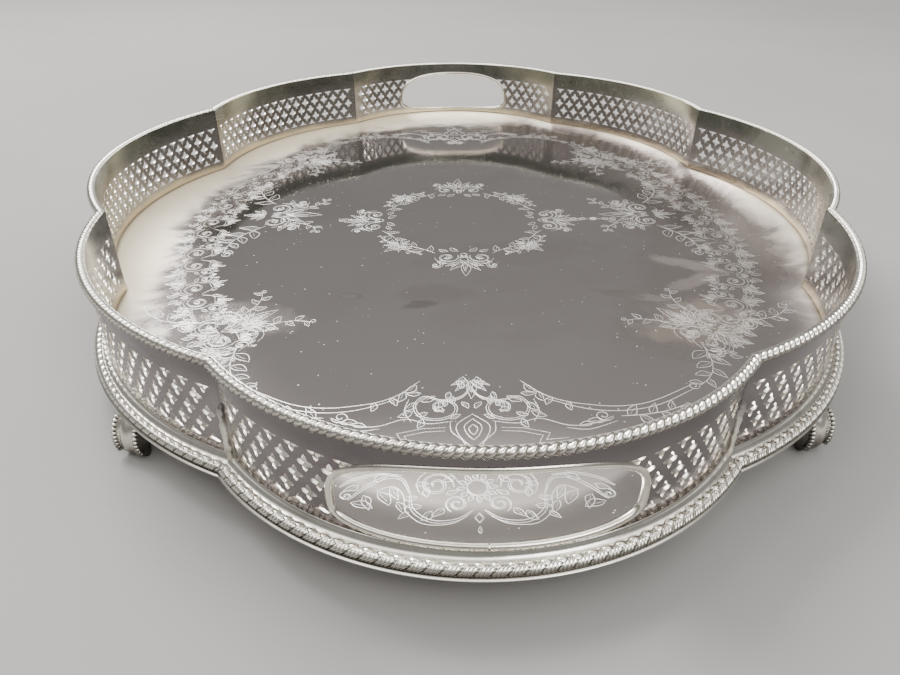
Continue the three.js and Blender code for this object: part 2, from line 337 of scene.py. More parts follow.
def punched_row(tool, places, height):
    """The tool at each place along X at one height, as one object."""
    copies = []
    for x in places:
        one = copy_of(tool, "punched")
        one.location = (x, 0, height)
        copies.append(one)
    row = join("row", *copies)
    fix_place(row)
    return row


def cut_away(piece, tool):
    apply_modifier(piece, "BOOLEAN", operation="DIFFERENCE", solver="EXACT", object=tool)
    bpy.data.objects.remove(tool)


def pierce(sheet, long_rows, short_rows):
    """Punches the middle and half rows at one set of places and the rows between at the other."""
    rows = [punched_row(punch, long_rows, MIDDLE_ROW),
            punched_row(punch, short_rows, MIDDLE_ROW - ROW_STEP),
            punched_row(punch, short_rows, MIDDLE_ROW + ROW_STEP),
            punched_row(upper_half, long_rows, MIDDLE_ROW - 2 * ROW_STEP),
            punched_row(lower_half, long_rows, MIDDLE_ROW + 2 * ROW_STEP)]
    cut_away(sheet, join("punches", *rows))


def centred(count, step):
    return [(k - (count - 1) / 2) * step for k in range(count)]


flat_panels = {}
for kind, arc, holes in (("corner", ARCS[0], 17), ("side", ARCS[1], 22)):
    sheet = flat_sheet(arc["length"] + 2 * OVERRUN)
    pierce(sheet, centred(holes, PITCH), centred(holes - 1, PITCH))
    sheet.name = "flat_" + kind
    flat_panels[kind] = sheet
    print(kind, "panel:", triangles(sheet), "triangles")

# %% [markdown]
# ## The handle panels and their hoops
# Each end panel has a hand opening: a wide oval with a high crown and a flatter foot, edged by a wire
# hoop that stands proud on both sides. A block whose upright edges are bevelled to a superellipse
# gives the outline. It cuts the opening, and its rim, grown a little, becomes the wire's middle line.

# %% The opening and the hoop
OPENING_MIDDLE = 38.5 * MM
OPENING_HALF_WIDTH = 49.8 * MM
OPENING_CROWN = 19 * MM
OPENING_DROP = 10.1 * MM
HOOP_RADIUS = 1.45 * MM
CROWN_PROFILE = 0.587  # bevel profiles: 0.5 is a quarter circle, 1 is square
DROP_PROFILE = 0.707
OPENING_SEGMENTS = 18


def opening_block(grow, depth):
    """The opening's outline, grown by a margin, as a block that runs through the wall."""
    bpy.ops.mesh.primitive_cube_add(size=2)
    block = bpy.context.object
    for above, profile in ((True, CROWN_PROFILE), (False, DROP_PROFILE)):
        only(block)
        bpy.ops.object.mode_set(mode="EDIT")
        bpy.ops.mesh.select_mode(type="EDGE")
        bpy.ops.mesh.select_all(action="DESELECT")
        done()
        for e in block.data.edges:
            a, b = (block.data.vertices[i].co for i in e.vertices)
            e.select = abs(a.y - b.y) > 1 and abs(a.x) > 0.9 and (a.z > 0.9 if above else a.z < -0.9)
        bpy.ops.object.mode_set(mode="EDIT")
        bpy.ops.mesh.bevel(offset=0.9995, segments=OPENING_SEGMENTS, profile=profile,
                           clamp_overlap=False)  # nearly the whole half width of 1
        done()
    edit(block)
    bpy.ops.transform.resize(value=(OPENING_HALF_WIDTH + grow, depth / 2, 1),
                             center_override=(0, 0, 0))
    done()
    for above, height in ((True, OPENING_CROWN), (False, OPENING_DROP)):
        edit(block, lambda p: p.z > 1e-6 if above else p.z < -1e-6)
        bpy.ops.transform.resize(value=(1, 1, height + grow), center_override=(0, 0, 0))
        done()
    block.location = (0, 0, OPENING_MIDDLE)
    fix_place(block)
    return block


HANDLE_HOLES = 5  # in each row, on each side of the opening
LONG_ROW_START = 54.3 * MM  # from the middle of the panel to the first hole of a row
SHORT_ROW_START = 59.0 * MM
BESIDE_CROWN = 49.6 * MM
ABOVE_CROWN = 44.9 * MM


def on_both_sides(start, count=1):
    return [s * (start + k * PITCH) for s in (-1, 1) for k in range(count)]


handle_sheet = flat_sheet(ARCS[3]["length"] + 2 * OVERRUN)
pierce(handle_sheet, on_both_sides(LONG_ROW_START, HANDLE_HOLES),
       on_both_sides(SHORT_ROW_START, HANDLE_HOLES))
extra = join("extra", punched_row(punch, on_both_sides(BESIDE_CROWN), MIDDLE_ROW + ROW_STEP),
             punched_row(lower_half, on_both_sides(ABOVE_CROWN), MIDDLE_ROW + 2 * ROW_STEP))
cut_away(handle_sheet, extra)
cut_away(handle_sheet, opening_block(HOOP_RADIUS, 20 * MM))
handle_sheet.name = "flat_handle"
flat_panels["handle"] = handle_sheet
print("handle panel:", triangles(handle_sheet), "triangles")

# %% The wire
JOINT_HALF_WIDTH = 0.25 * MM


def make_hoop():
    block = opening_block(HOOP_RADIUS, 2 * MM)
    edit(block, lambda p: p.y < 0)
    bpy.ops.mesh.delete(type="VERT")
    bpy.ops.mesh.select_all(action="SELECT")
    bpy.ops.transform.resize(value=(1, 0, 1), center_override=(0, 0, 0))
    bpy.ops.mesh.delete(type="ONLY_FACE")
    bpy.ops.mesh.select_all(action="SELECT")
    bpy.ops.mesh.remove_doubles(threshold=0.1 * MM)
    for side in (-1, 1):  # the wire's two ends meet under the middle of the opening
        bpy.ops.mesh.select_all(action="SELECT")
        bpy.ops.mesh.bisect(plane_co=(side * JOINT_HALF_WIDTH, 0, 0), plane_no=(1, 0, 0))
    done()
    edit(block, lambda p: p.z < OPENING_MIDDLE and abs(p.x) < 1.01 * JOINT_HALF_WIDTH)
    bpy.ops.mesh.delete(type="EDGE")
    done()
    only(block)
    bpy.ops.object.convert(target="CURVE")
    wire = bpy.context.object
    wire.data.bevel_depth = HOOP_RADIUS
    wire.data.bevel_resolution = 2
    wire.data.use_fill_caps = True
    bpy.ops.object.convert(target="MESH")
    wire = bpy.context.object
    outward_faces(wire)
    return wire


flat_hoop = make_hoop()
flat_hoop.name = "flat_hoop"
print("hoop:", triangles(flat_hoop), "triangles, size mm",
      [round(d / MM, 1) for d in flat_hoop.dimensions])

# %% [markdown]
# ## The rope rim
# A cast rope runs along the outside of the wall's top edge. It is made as rope is: a bar with two
# round strands for its section is twisted, so each strand winds along it and the grooves slant.

# %% Twisted bars
ROPE_OUT = 1.5
ROPE_UP = 66.55
ROPE_RADII = (2.12, 2.0)  # the two strands differ a little
ROPE_GROOVE = 0.72
ROPE_POINTS = 8
ROPE_STRAND = 2.8 * MM  # from one strand to the next, along the rope
ROPE_STEP = 0.62 * MM


def strand_profile(radii, groove, points_each):
    """A ring of round strands: one radius for each, with grooves between them, round the origin."""
    profile = []
    share = 2 * math.pi / len(radii)
    for k, radius in enumerate(radii):
        for i in range(points_each):
            t = (i + 0.5) / points_each
            depth = groove * abs(2 * t - 1) ** 2.2
            angle = (k + t) * share
            profile.append(((radius - depth) * math.cos(angle), (radius - depth) * math.sin(angle)))
    return profile


def twisted(name, profile, length, step, advance, out, up):
    """A bar twisted one turn for each advance along X, with its middle line at a place in YZ."""
    piece = bar(name, profile, length, step)
    apply_modifier(piece, "SIMPLE_DEFORM", deform_method="TWIST", deform_axis="X",
                   angle=2 * math.pi * length / advance)
    piece.location = (0, -out * MM, up * MM)
    fix_place(piece)
    return piece


def flat_rope(length):
    profile = strand_profile(ROPE_RADII, ROPE_GROOVE, ROPE_POINTS)
    advance = -len(ROPE_RADII) * ROPE_STRAND
    return twisted("rope", profile, length, ROPE_STEP, advance, ROPE_OUT, ROPE_UP)


# %% [markdown]
# ## The base border
# Round the foot of the wall runs a wide polished cove, then a plump gadrooned rope, then a thin lip.
# Each gadroon is an egg above and four fine slanted reeds below. The reeds are a twisted bar with eight
# fine strands, where every fourth groove is deeper, and the eggs lie along its top.

# %% One length of border
BORDER_PROFILE = [
    (-0.2, 19.5), (7.0, 19.5), (7.45, 19.8), (7.45, 20.2), (7.0, 20.5), (6.2, 20.7),  # base and lip
    (6.0, 22.2), (5.4, 22.8), (4.6, 23.0), (3.9, 23.0),  # the bed under the rope
    (3.6, 23.45), (3.1, 23.55), (2.6, 23.7), (2.1, 24.0), (1.6, 24.5),  # the cove
    (1.2, 25.1), (0.9, 25.8), (0.6, 26.0)]
REED_OUT, REED_UP, REED_RADIUS = 5.15, 22.15, 1.98
REED_STEP = 0.55 * MM
REEDS = 8
REEDS_TO_AN_EGG = 4
REED_GROOVE = 0.5
REED_POINTS = 4
DEEP_GROOVE = 0.86  # the share of the radius left in the groove between two gadroons
GADROON_PITCH = 4.9 * MM
EGG_HALF = (2.4, 1.75, 1.3)
EGG_CENTRE = (0, -REED_OUT + 0.75, REED_UP + 1.0)
EGG_SLANT = math.radians(-14)
BORDER_OVERRUN = 6 * MM


def bead(half_size, centre, slant, turn_axis=(0, -1, 1)):
    """An egg of the given half sizes in millimetres, slanted about an axis that faces the eye."""
    bpy.ops.mesh.primitive_uv_sphere_add(segments=10, ring_count=6, radius=MM, rotation=(0, math.pi / 2, 0))
    egg = bpy.context.object
    fix_place(egg)
    edit(egg)
    bpy.ops.transform.resize(value=half_size, center_override=(0, 0, 0))
    done()
    egg.rotation_mode = "QUATERNION"
    egg.rotation_quaternion = Matrix.Rotation(slant, 3, Vector(turn_axis)).to_quaternion()
    egg.location = Vector(centre) * MM
    fix_place(egg)
    egg.rotation_mode = "XYZ"
    return egg


def run_of(unit, pitch, length):
    """The unit repeated along X over a length, with its middle at x = 0."""
    count = math.ceil(length / pitch)
    repeat(unit, count, (pitch, 0, 0))
    unit.location.x = -(count - 1) / 2 * pitch
    fix_place(unit)
    return unit


def flat_border(length):
    profile = strand_profile((REED_RADIUS,) * REEDS, REED_GROOVE, REED_POINTS)
    group = REEDS_TO_AN_EGG * REED_POINTS
    for k in range(len(profile)):
        if k % group in (0, group - 1):
            profile[k] = tuple(DEEP_GROOVE * v for v in profile[k])
    advance = -(REEDS // REEDS_TO_AN_EGG) * GADROON_PITCH
    reeds = twisted("reeds", profile, length, REED_STEP, advance, REED_OUT, REED_UP)
    eggs = bead(EGG_HALF, EGG_CENTRE, EGG_SLANT)
    return join("border", bar("moulding", BORDER_PROFILE, length), reeds,
                run_of(eggs, GADROON_PITCH, length))


# %% [markdown]
# ## Bending every length into its place
# The flat panels, ropes, borders and hoops are copied for each of the eight arcs, bent, mitred, and
# given their CAD node's place in the tray. The rope and the border are made afresh for each length.

# %% The wall, arc by arc
made = {}


def finish_piece(piece, name, cad_node, slot, angle=35, finish=None):
    """Names a piece, puts it on the tray's body in a slot, and notes the finish it will get."""
    smooth(piece, angle)
    piece.name = name
    piece.data.name = name
    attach(piece, "root")
    if cad_node:
        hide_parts(cad_node)
    made.setdefault(finish or slot, []).append(piece)
    return piece


for arc in ARCS:
    name = arc["name"]
    kind = name.split("_")[1] if name.split("_")[1] in ("side", "handle") else "corner"
    length = arc["length"] + 2 * OVERRUN
    panel = copy_of(flat_panels[kind], "panel")
    rope = flat_rope(length)
    border = flat_border(length + BORDER_OVERRUN)
    for piece in (panel, rope, border):
        bend_round(piece, arc)
        mitre(piece, arc)
    finish_piece(panel, name + "_pierced_wall", name + "_panel", "pierced_silver", 30)
    finish_piece(rope, name + "_rope", name + "_rope_rim", "rope_silver", 50)
    finish_piece(border, name + "_gadroons", name + "_base_border", "border_silver", 50)
    if kind == "handle":
        wire = copy_of(flat_hoop, "wire")
        bend_round(wire, arc)
        finish_piece(wire, name + "_wire", name + "_hoop", "hoop_silver", 50)
    print(name, "triangles:", triangles(panel), triangles(rope), triangles(border))
for flat in [*flat_panels.values(), flat_hoop, punch, lower_half, upper_half]:
    bpy.data.objects.remove(flat)

# %% [markdown]
# ## The plate
# The plate is one sheet, dead flat in the middle. Near the wall it sweeps up in a shallow hollow to a
# narrow ledge. Its outline is drawn by spinning a vertex round each arc in turn. Insets then step the
# surface inwards and down, and the last step leaves the flat middle.

# %% The dished sheet
PLATE_TOP = 20 * MM
LEDGE_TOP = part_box("tray_plate")[1].z
LEDGE = 2.2 * MM
SLOPE = 22 * MM
SLOPE_STEPS = 12
PLATE_THICKNESS = 1.4 * MM
ARC_CUTS = 40


def plate_height(distance):
    """Height of the sheet at a distance in from the wall: a parabola between ledge and middle."""
    share = min(1, max(0, (LEDGE + SLOPE - distance) / SLOPE))
    return PLATE_TOP + (LEDGE_TOP - PLATE_TOP) * share ** 2


def make_plate():
    bpy.ops.mesh.primitive_plane_add(size=MM)
    sheet = bpy.context.object
    bpy.ops.object.mode_set(mode="EDIT")
    bpy.ops.mesh.merge(type="CENTER")
    bpy.ops.transform.translate(value=(*ARCS[0]["start"].xy, LEDGE_TOP))
    for arc in ARCS:
        centre = Vector((*arc["centre"].xy, LEDGE_TOP))
        bpy.ops.mesh.spin(steps=ARC_CUTS, angle=-arc["sweep"], center=centre, axis=(0, 0, 1))
    bpy.ops.mesh.select_all(action="SELECT")
    bpy.ops.mesh.remove_doubles(threshold=0.02 * MM)
    bpy.ops.mesh.edge_face_add()
    bpy.ops.mesh.select_mode(type="FACE")
    bpy.ops.mesh.select_all(action="SELECT")
    bpy.ops.mesh.normals_make_consistent(inside=False)
    done()
    if sheet.data.polygons[0].normal.z < 0:
        edit(sheet)
        bpy.ops.mesh.flip_normals()
        done()
    sheet.data.polygons[0].select = True
    only(sheet)
    bpy.ops.object.mode_set(mode="EDIT")
    bpy.ops.mesh.select_mode(type="FACE")
    bpy.ops.mesh.inset(thickness=LEDGE, depth=0)
    distance = LEDGE
    for _ in range(SLOPE_STEPS):
        fall = plate_height(distance + SLOPE / SLOPE_STEPS) - plate_height(distance)
        bpy.ops.mesh.inset(thickness=SLOPE / SLOPE_STEPS, depth=fall)
        distance += SLOPE / SLOPE_STEPS
    done()
    return sheet


plate = make_plate()
print("plate before thickness:", len(plate.data.polygons), "faces, heights mm",
      [round(f(v.co.z for v in plate.data.vertices) / MM, 2) for f in (min, max)])
apply_modifier(plate, "SOLIDIFY", thickness=PLATE_THICKNESS, offset=-1, use_even_offset=True)
finish_piece(plate, "dished_plate", "tray_plate", "engraved_silver", 30)
print("plate:", triangles(plate), "triangles, size mm", [round(d / MM, 1) for d in plate.dimensions])

# %% [markdown]
# ## The engraving
# The plate is engraved by hand: a wreath round the middle, an ornament at each side and each end, a
# cluster in each corner, and a lace of scrolls and leaves along the edge. A graver leaves a bright
# burred line, so each stroke is a very low ridge, less than a tenth of a millimetre high, that tapers
# at both ends. A stroke is a line of points in millimetres and a width, and a motif is a list of them.

# %% Strokes
CUT_HALF_WIDTH = 0.18
CUT_FLATNESS = 0.3
CUT_TAPER = (0.45, 0.8)  # how wide a stroke is at its end and one point before it


def stroke(points, width=1.0):
    return [([Vector(p).to_2d() for p in points], width)]


def through(points, steps=6, width=1.0):
    """A smooth stroke through the points (Catmull-Rom)."""
    p = [Vector(q) for q in points]
    p = [2 * p[0] - p[1], *p, 2 * p[-1] - p[-2]]
    line = []
    for a, b, c, d in zip(p, p[1:], p[2:], p[3:]):
        for k in range(steps):
            t = k / steps
            line.append(0.5 * (2 * b + (c - a) * t + (2 * a - 5 * b + 4 * c - d) * t * t
                               + (3 * b - a - 3 * c + d) * t ** 3))
    return [(line + [p[-2]], width)]


def spiral(x, y, r0, r1, start, turns, width=1.0):
    """From radius r0 at angle start (degrees), winding in to r1. Negative turns wind clockwise."""
    count = max(8, round(abs(turns) * 16))
    line = []
    for k in range(count + 1):
        t = k / count
        angle = math.radians(start) + 2 * math.pi * turns * t
        radius = r0 + (r1 - r0) * t ** 0.8
        line.append(Vector((x + radius * math.cos(angle), y + radius * math.sin(angle))))
    return [(line, width)]


# %% Placing, mirroring and doubling strokes
def moved(strokes, x=0.0, y=0.0, turn=0.0, size=1.0, flip=False):
    c, s = math.cos(math.radians(turn)) * size, math.sin(math.radians(turn)) * size
    result = []
    for line, width in strokes:
        places = [Vector((-p.x if flip else p.x, p.y)) for p in line]
        result.append(([Vector((x + c * p.x - s * p.y, y + s * p.x + c * p.y)) for p in places], width))
    return result


def both(strokes):
    """The strokes and their mirror image across x = 0."""
    return strokes + moved(strokes, flip=True)


def pair(strokes, x, y, turn):
    """The strokes moved to a place, and their mirror image across x = 0."""
    return both(moved(strokes, x, y, turn))


def finer(strokes, share):
    return [(line, width * share) for line, width in strokes]


def doubled(strokes, gap=1.2):
    """The strokes with a finer one beside each, on its left."""
    beside = []
    for line, width in strokes:
        ways = [(b - a).normalized() for a, b in zip(line, line[1:])]
        ways.append(ways[-1])
        places = [p + Vector((-w.y, w.x)) * gap * math.sin(math.pi * (0.08 + 0.84 * k / len(line)))
                  for k, (p, w) in enumerate(zip(line, ways))]
        beside.append((places, width * 0.8))
    return strokes + beside


# %% Leaves, scrolls and sprays
def leaf(x, y, turn, length, belly=0.28, curl=0.18):
    """A pointed leaf from its stem, bowed to one side, with a vein."""
    w, bow = length * belly, length * curl
    left = [(0, 0), (length * 0.35, w + bow * 0.5), (length * 0.75, w * 0.55 + bow), (length, bow)]
    right = [(0, 0), (length * 0.4, -w * 0.6 + bow * 0.4), (length, bow)]
    vein = [(length * 0.15, 0.05 * w), (length * 0.7, w * 0.15 + bow * 0.7)]
    return moved(through(left, 3) + through(right, 3) + stroke(vein, 0.8), x, y, turn)


def leaves(*places):
    """Several leaves, each given as leaf takes it."""
    return sum((leaf(*place) for place in places), [])


def volute(r, turns=1.35, count=4):
    """A scroll that winds in clockwise from its left end, with a doubled back and leaves on it."""
    strokes = doubled(spiral(0, 0, r, r * 0.22, 180, -turns), -r * 0.13)
    strokes += spiral(0, 0, r * 1.2, r * 1.02, 178, -0.55)
    strokes += spiral(0, 0, r * 0.3, r * 0.05, 0, 1, 1.6)
    for k in range(count):
        angle = 165 - k * 38
        a = math.radians(angle)
        strokes += leaf(r * 1.22 * math.cos(a), r * 1.22 * math.sin(a), angle - 45, r * 0.62)
    return strokes


def palmette(length, pairs=2):
    strokes = leaf(0, 0, 90, length, 0.2, 0) + leaf(0, 0, 90, length * 0.62, 0.14, 0)
    for k in range(1, pairs + 1):
        side_length = length * (0.92 - 0.17 * k)
        strokes += both(leaf(length * 0.07 * k, -length * 0.04, 90 - 24 * k, side_length, 0.2, -0.2))
    return strokes


def spray(length, count=5, rise=0.25):
    """A bowed stem along +x with leaves in turn on both sides and a curl at its tip."""
    def at(t):
        return Vector((length * t, rise * length * math.sin(math.pi * t * 0.8)))
    strokes = through([at(k / 5) for k in range(6)], 4)
    for k in range(count):
        t = (k + 0.6) / (count + 0.4)
        here, ahead_of = at(t), at(t + 0.05)
        way = math.degrees(math.atan2(*(ahead_of - here).yx))
        side = 1 if k % 2 else -1
        strokes += leaf(here.x, here.y, way + side * 42, length * (0.30 - 0.02 * k), 0.3, 0.16 * side)
    tip = at(1)
    return strokes + spiral(tip.x, tip.y + length * 0.05, length * 0.07, length * 0.02, -90, 1.2)


print("strokes in a leaf, a volute and a spray:",
      [len(strokes) for strokes in (leaf(0, 0, 0, 1), volute(1), spray(1))])

# %% [markdown]
# ### The motifs
# Each ornament is drawn once, upright, round its own middle, from the leaves and scrolls above. Most
# are mirrored, so only their right half is laid out. The ends of the plate have motifs of their own,
# which fill the bay inside the wall, and those are drawn where they lie.

# %% Wreath, side, corner and lace
def wreath_motif():
    strokes = pair(volute(6.2, 1.5, 3), 8.6, 0, 25) + moved(palmette(15, 2), 0, 6)
    strokes += pair(volute(3.2, 1.2, 2), 14.5, 8.5, 80) + pair(spray(25, 5, -0.18), 14.5, -5, -16)
    strokes += both(leaves((3, -7, -60, 6), (8, -7, -40, 5.5)))
    return strokes + spiral(0, -3.2, 1.6, 1.6, 0, 1, 1.4)


def wreath_tuft():
    return palmette(11, 2) + pair(spray(13, 3, 0.2), 2, 0, -8) + moved(palmette(6, 1), 0, -1, 180)


def side_motif():
    strokes = pair(volute(9, 1.5, 5), 11.5, 0, 20) + moved(palmette(24, 3), 0, 6)
    strokes += pair(volute(5, 1.3, 3), 22, 13, 95) + pair(spray(44, 8, -0.2), 19, -4, -14)
    return strokes + pair(spray(24, 5, 0.25), 12, 12, 40) + moved(palmette(14, 2), 0, -8, 180)


def corner_motif():
    strokes = pair(volute(8, 1.4, 4), 10, 4, 30) + moved(palmette(21, 2), 0, 8)
    strokes += moved(palmette(12, 3), 0, 12)
    strokes += pair(spray(38, 8, -0.24), 14, -2, -18) + pair(spray(26, 5, 0.2), 8, 12, 50)
    return strokes + moved(palmette(16, 3), 0, -4, 180) + pair(volute(4.5, 1.2, 2), 17, -11, 200)


def lace_motif():
    """One repeat of the edge lace, 21 mm long: +y points to the wall."""
    strokes = moved(volute(6.6, 1.45, 5), -3, 0, -15) + moved(volute(4.2, 1.2, 3), 6.5, -6, 150)
    strokes += moved(palmette(10.5, 2), 4.5, 5.5, -18) + moved(palmette(8, 2), -1, -9.5, 196)
    strokes += through([(-11, 4), (-6, 9.5), (0, 8.5), (5, 11.5), (10, 4)], 4)
    strokes += through([(-10.5, -3), (-6, -8.5), (1, -8), (6, -12), (10.5, -3)], 4)
    return strokes + leaves((-9, 9, 60, 6), (9, 9.5, 120, 6, 0.28, -0.18), (-8, -8, -70, 5))


for motif in (wreath_motif, side_motif, corner_motif, lace_motif):
    print(motif.__name__, len(motif()), "strokes")

# %% The ornament at each end
SPADE_MIDDLE = 208


def end_motif():
    """The ornament at an end of the plate, inside the wall: y is measured from the plate's middle."""
    strokes = moved(palmette(13, 2), 0, 175)
    strokes += both(leaves((3, 172, 70, 9), (6, 175, 110, 6), (9, 183, 60, 5)))
    return strokes + both(end_scroll() + end_spade())


def end_scroll():
    """The big scroll on the right of the ornament, with the long tendrils that run out from it."""
    scroll = [(0, 179), (4, 186), (12, 188.5), (20, 186), (24, 193), (21, 200), (14, 202), (7.5, 199),
              (6, 193), (10, 188.5), (15.5, 191), (15, 196), (11, 195.5)]
    upper = [(21.7, 175), (30, 184.5), (38, 189.5), (47, 192), (60, 193.5), (75, 190.5), (97, 178)]
    big = doubled(through(scroll, 5), 1.1)
    big += through([(0, 182), (5, 188), (13, 190.5)], 4) + through([(24.5, 203), (27.5, 196), (26, 188)], 4)
    big += leaves((15, 186, 20, 7), (21, 184, -10, 6), (9, 201, 200, 5), (11, 193, 250, 4.5),
                  (23, 190, 40, 7), (24, 196, 20, 7), (20, 201, 60, 6), (15, 193, 120, 5),
                  (18, 197, 10, 5), (8, 186, 80, 5), (12, 189, 60, 5), (4, 190, 110, 5))
    big += through(upper, 4) + through([(31, 188), (47, 195), (62, 196.5), (78, 192.5), (96, 181.5)], 4)
    big += leaves((23, 178, 40, 7), (28, 183, 60, 7), (34, 187, 110, 6), (40, 190, 70, 6))
    big += spiral(53, 199.5, 4, 0.8, 20, 1.4) + leaves((53, 203, 170, 7), (48, 204, 150, 6))
    big += through([(57, 200), (48, 204.5), (38, 205.5), (27, 201), (18, 204), (8, 202.5)], 4)
    big += through([(58, 203), (46, 208), (37, 207)], 4) + moved(spray(30, 6, 0.1), 60, 200, -18)
    big += stroke([(11, 206.5), (20, 207), (30, 210), (28, 214), (37, 213)])
    return big + stroke([(11, 208.5), (19, 209), (27, 211.5), (25, 216), (36, 215)])


def end_spade():
    """The right half of the spade under the scrolls, with a smaller one inside it."""
    spade = through([(0, 201), (3.4, 205.5), (2.4, 210.5), (0, 214)], 5)
    spade += moved(spade, 0, SPADE_MIDDLE / 2, 0, 0.5)
    spade += through([(0, 198), (6.5, 205), (5, 212.5), (0, 219)], 5)
    spade += through([(9, 203), (8.5, 209), (4.5, 214), (2, 220)], 4)
    return spade + leaves((2, 219, 100, 5), (5, 217, 60, 5))


print("end motif:", len(end_motif()), "strokes")

# %% The ornament in each end bay
ROSE_MIDDLE = 239.5
ROSE_PETALS = 12


def rose():
    strokes = doubled(spiral(0, ROSE_MIDDLE, 3.6, 3.6, 0, 1), -0.7)
    for k in range(ROSE_PETALS):
        turn = 360 / ROSE_PETALS * k
        a = math.radians(turn)
        strokes += leaf(4.2 * math.cos(a), ROSE_MIDDLE + 4.2 * math.sin(a), turn, 3.2, 0.36, 0.1)
    return strokes


def bay_arm():
    """The scrolls and leaves on the right of the rose."""
    arm = doubled(spiral(14.5, 238, 6.3, 1, 170, 1.6), -0.9) + spiral(14.5, 238, 7.8, 6.9, 190, 0.6)
    arm += doubled(spiral(7.4, 247.2, 4.2, 0.7, 60, -1.6), 0.7)
    arm += doubled(through([(2, 250), (8, 254.5), (16, 255), (22, 250), (23.5, 243)], 5), 1.3)
    arm += through([(4, 253), (10, 257), (19, 257), (25, 250.5), (26, 243), (30, 238.5), (36, 241)], 5)
    arm += doubled(through([(23.5, 243), (27, 235.5), (33, 235), (40, 240), (45, 246)], 5), -1.2)
    arm += doubled(spiral(45.8, 243.5, 2.8, 0.6, -90, 1.4), 0.6)
    places = ((31, 239, 130, 7), (35, 241, 110, 8), (40, 243, 120, 8), (44, 247, 150, 8), (12, 249, 60, 6),
              (16, 250.5, 40, 6), (19.5, 248, 15, 5.5), (21, 244, -10, 5), (11, 243, 220, 5),
              (18, 244, 250, 5), (22, 238, 200, 5), (37, 236, 200, 6), (42, 238, 40, 6),
              (28, 246, 100, 6), (24, 251, 60, 5), (8, 233.5, 20, 5))
    for k, place in enumerate(places):
        arm += leaf(*place, 0.3, 0.2 if k % 2 else -0.2)
    arm += doubled(through([(27, 233), (36, 232), (45, 235), (49, 239)], 4), 1.0)
    return arm + doubled(through([(19, 231), (12, 229.5), (4, 232)], 4), 0.9)


def lobe_motif():
    """The ornament in the end bay of the plate, seen through the hand opening."""
    lozenge = doubled(stroke([(0, 251.5), (1.6, 254), (0, 256.5), (-1.6, 254), (0, 251.5)]), 0.5)
    return rose() + both(bay_arm()) + lozenge + leaf(0, 262, -90, 4, 0.2, 0)


print("bay motif:", len(lobe_motif()), "strokes")

# %% Where the motifs lie
WREATH_MIDDLE = Vector((0, 4))
WREATH_RADIUS = 56
RIGHT_BAR, LEFT_BAR = (71, 101), (71, 80)  # where the double bar beside the wreath starts and ends
BAR_PLACES = (5.3, 6.7)
BAR_RINGS = (74, 80, 95, 100)
SIDE_PLACE = (122, 14)
CORNER_PLACE = (117, 133)
FRONT_SHIFT = -1.7  # the front ornament was cut a little off the middle
EDGE_HALF = Vector((161, 208))  # the lace follows an ellipse with these half axes
LACE_REPEATS = range(-7, 8)
LACE_STEP, LACE_START = 0.112, 0.02


def round_wreath(way, radius):
    return WREATH_MIDDLE + radius * Vector((math.cos(way), math.sin(way)))


def wreath_strokes():
    strokes = []
    for k in range(4):
        way = math.radians(90 * k)
        strokes += moved(wreath_motif(), *round_wreath(way, WREATH_RADIUS), 90 * k - 90, 1.15)
        way += math.radians(45)
        strokes += moved(wreath_tuft(), *round_wreath(way, WREATH_RADIUS - 2), 90 * k - 45, 1.2)
    for side, ends in ((1, RIGHT_BAR), (-1, LEFT_BAR)):
        for y in BAR_PLACES:
            strokes += stroke([(side * x, y) for x in ends], 1.3)
        if side > 0:
            for x in BAR_RINGS:
                strokes += spiral(x, 6, 1.8, 1.8, 0, 1, 1.3)
            strokes += spiral(87, 6, 2.6, 0.6, 0, 3, 1.4)
    return strokes


def ornament_strokes():
    strokes = []
    for side in (1, -1):
        strokes += moved(side_motif(), side * SIDE_PLACE[0], SIDE_PLACE[1], 90 * side)
        for end in (1, -1):
            turn = math.degrees(math.atan2(-end, -side)) - 90
            corner = moved(corner_motif(), side * CORNER_PLACE[0], end * CORNER_PLACE[1], turn)
            strokes += finer(corner, 0.75)
    return strokes


def end_strokes():
    back = [end_motif(), lobe_motif()]
    strokes = back[0] + back[1]
    return strokes + [s for part in back for s in moved(part, FRONT_SHIFT, 0, 180)]


def lace_strokes(side):
    strokes = []
    for k in LACE_REPEATS:
        t = k * LACE_STEP + LACE_START
        place = Vector((side * EDGE_HALF.x * math.cos(t), EDGE_HALF.y * math.sin(t)))
        normal = Vector((place.x / EDGE_HALF.x ** 2, place.y / EDGE_HALF.y ** 2))
        turn = math.degrees(math.atan2(normal.y, normal.x)) - 90
        strokes += finer(moved(lace_motif(), *place, turn, flip=bool(k % 2)), 0.85)
    return strokes


# %% Cutting the strokes into the plate
def sheet_height(point):
    """The plate's height under a point in millimetres, or None outside its hollow and middle."""
    hit, where, _, _ = plate.ray_cast((point.x * MM, point.y * MM, 0.1), (0, 0, -1))
    return where.z if hit and where.z < LEDGE_TOP - 0.1 * MM else None


def add_cut(data, line, heights, width):
    """One spline along the line, its height stretched, because the whole is flattened afterwards."""
    spline = data.splines.new("POLY")
    spline.points.add(len(line) - 1)
    for k, (p, z) in enumerate(zip(line, heights)):
        spline.points[k].co = (p.x * MM, p.y * MM, z / CUT_FLATNESS, 1)
        from_end = min(k, len(line) - 1 - k)
        spline.points[k].radius = width * (CUT_TAPER[from_end] if from_end < len(CUT_TAPER) else 1)


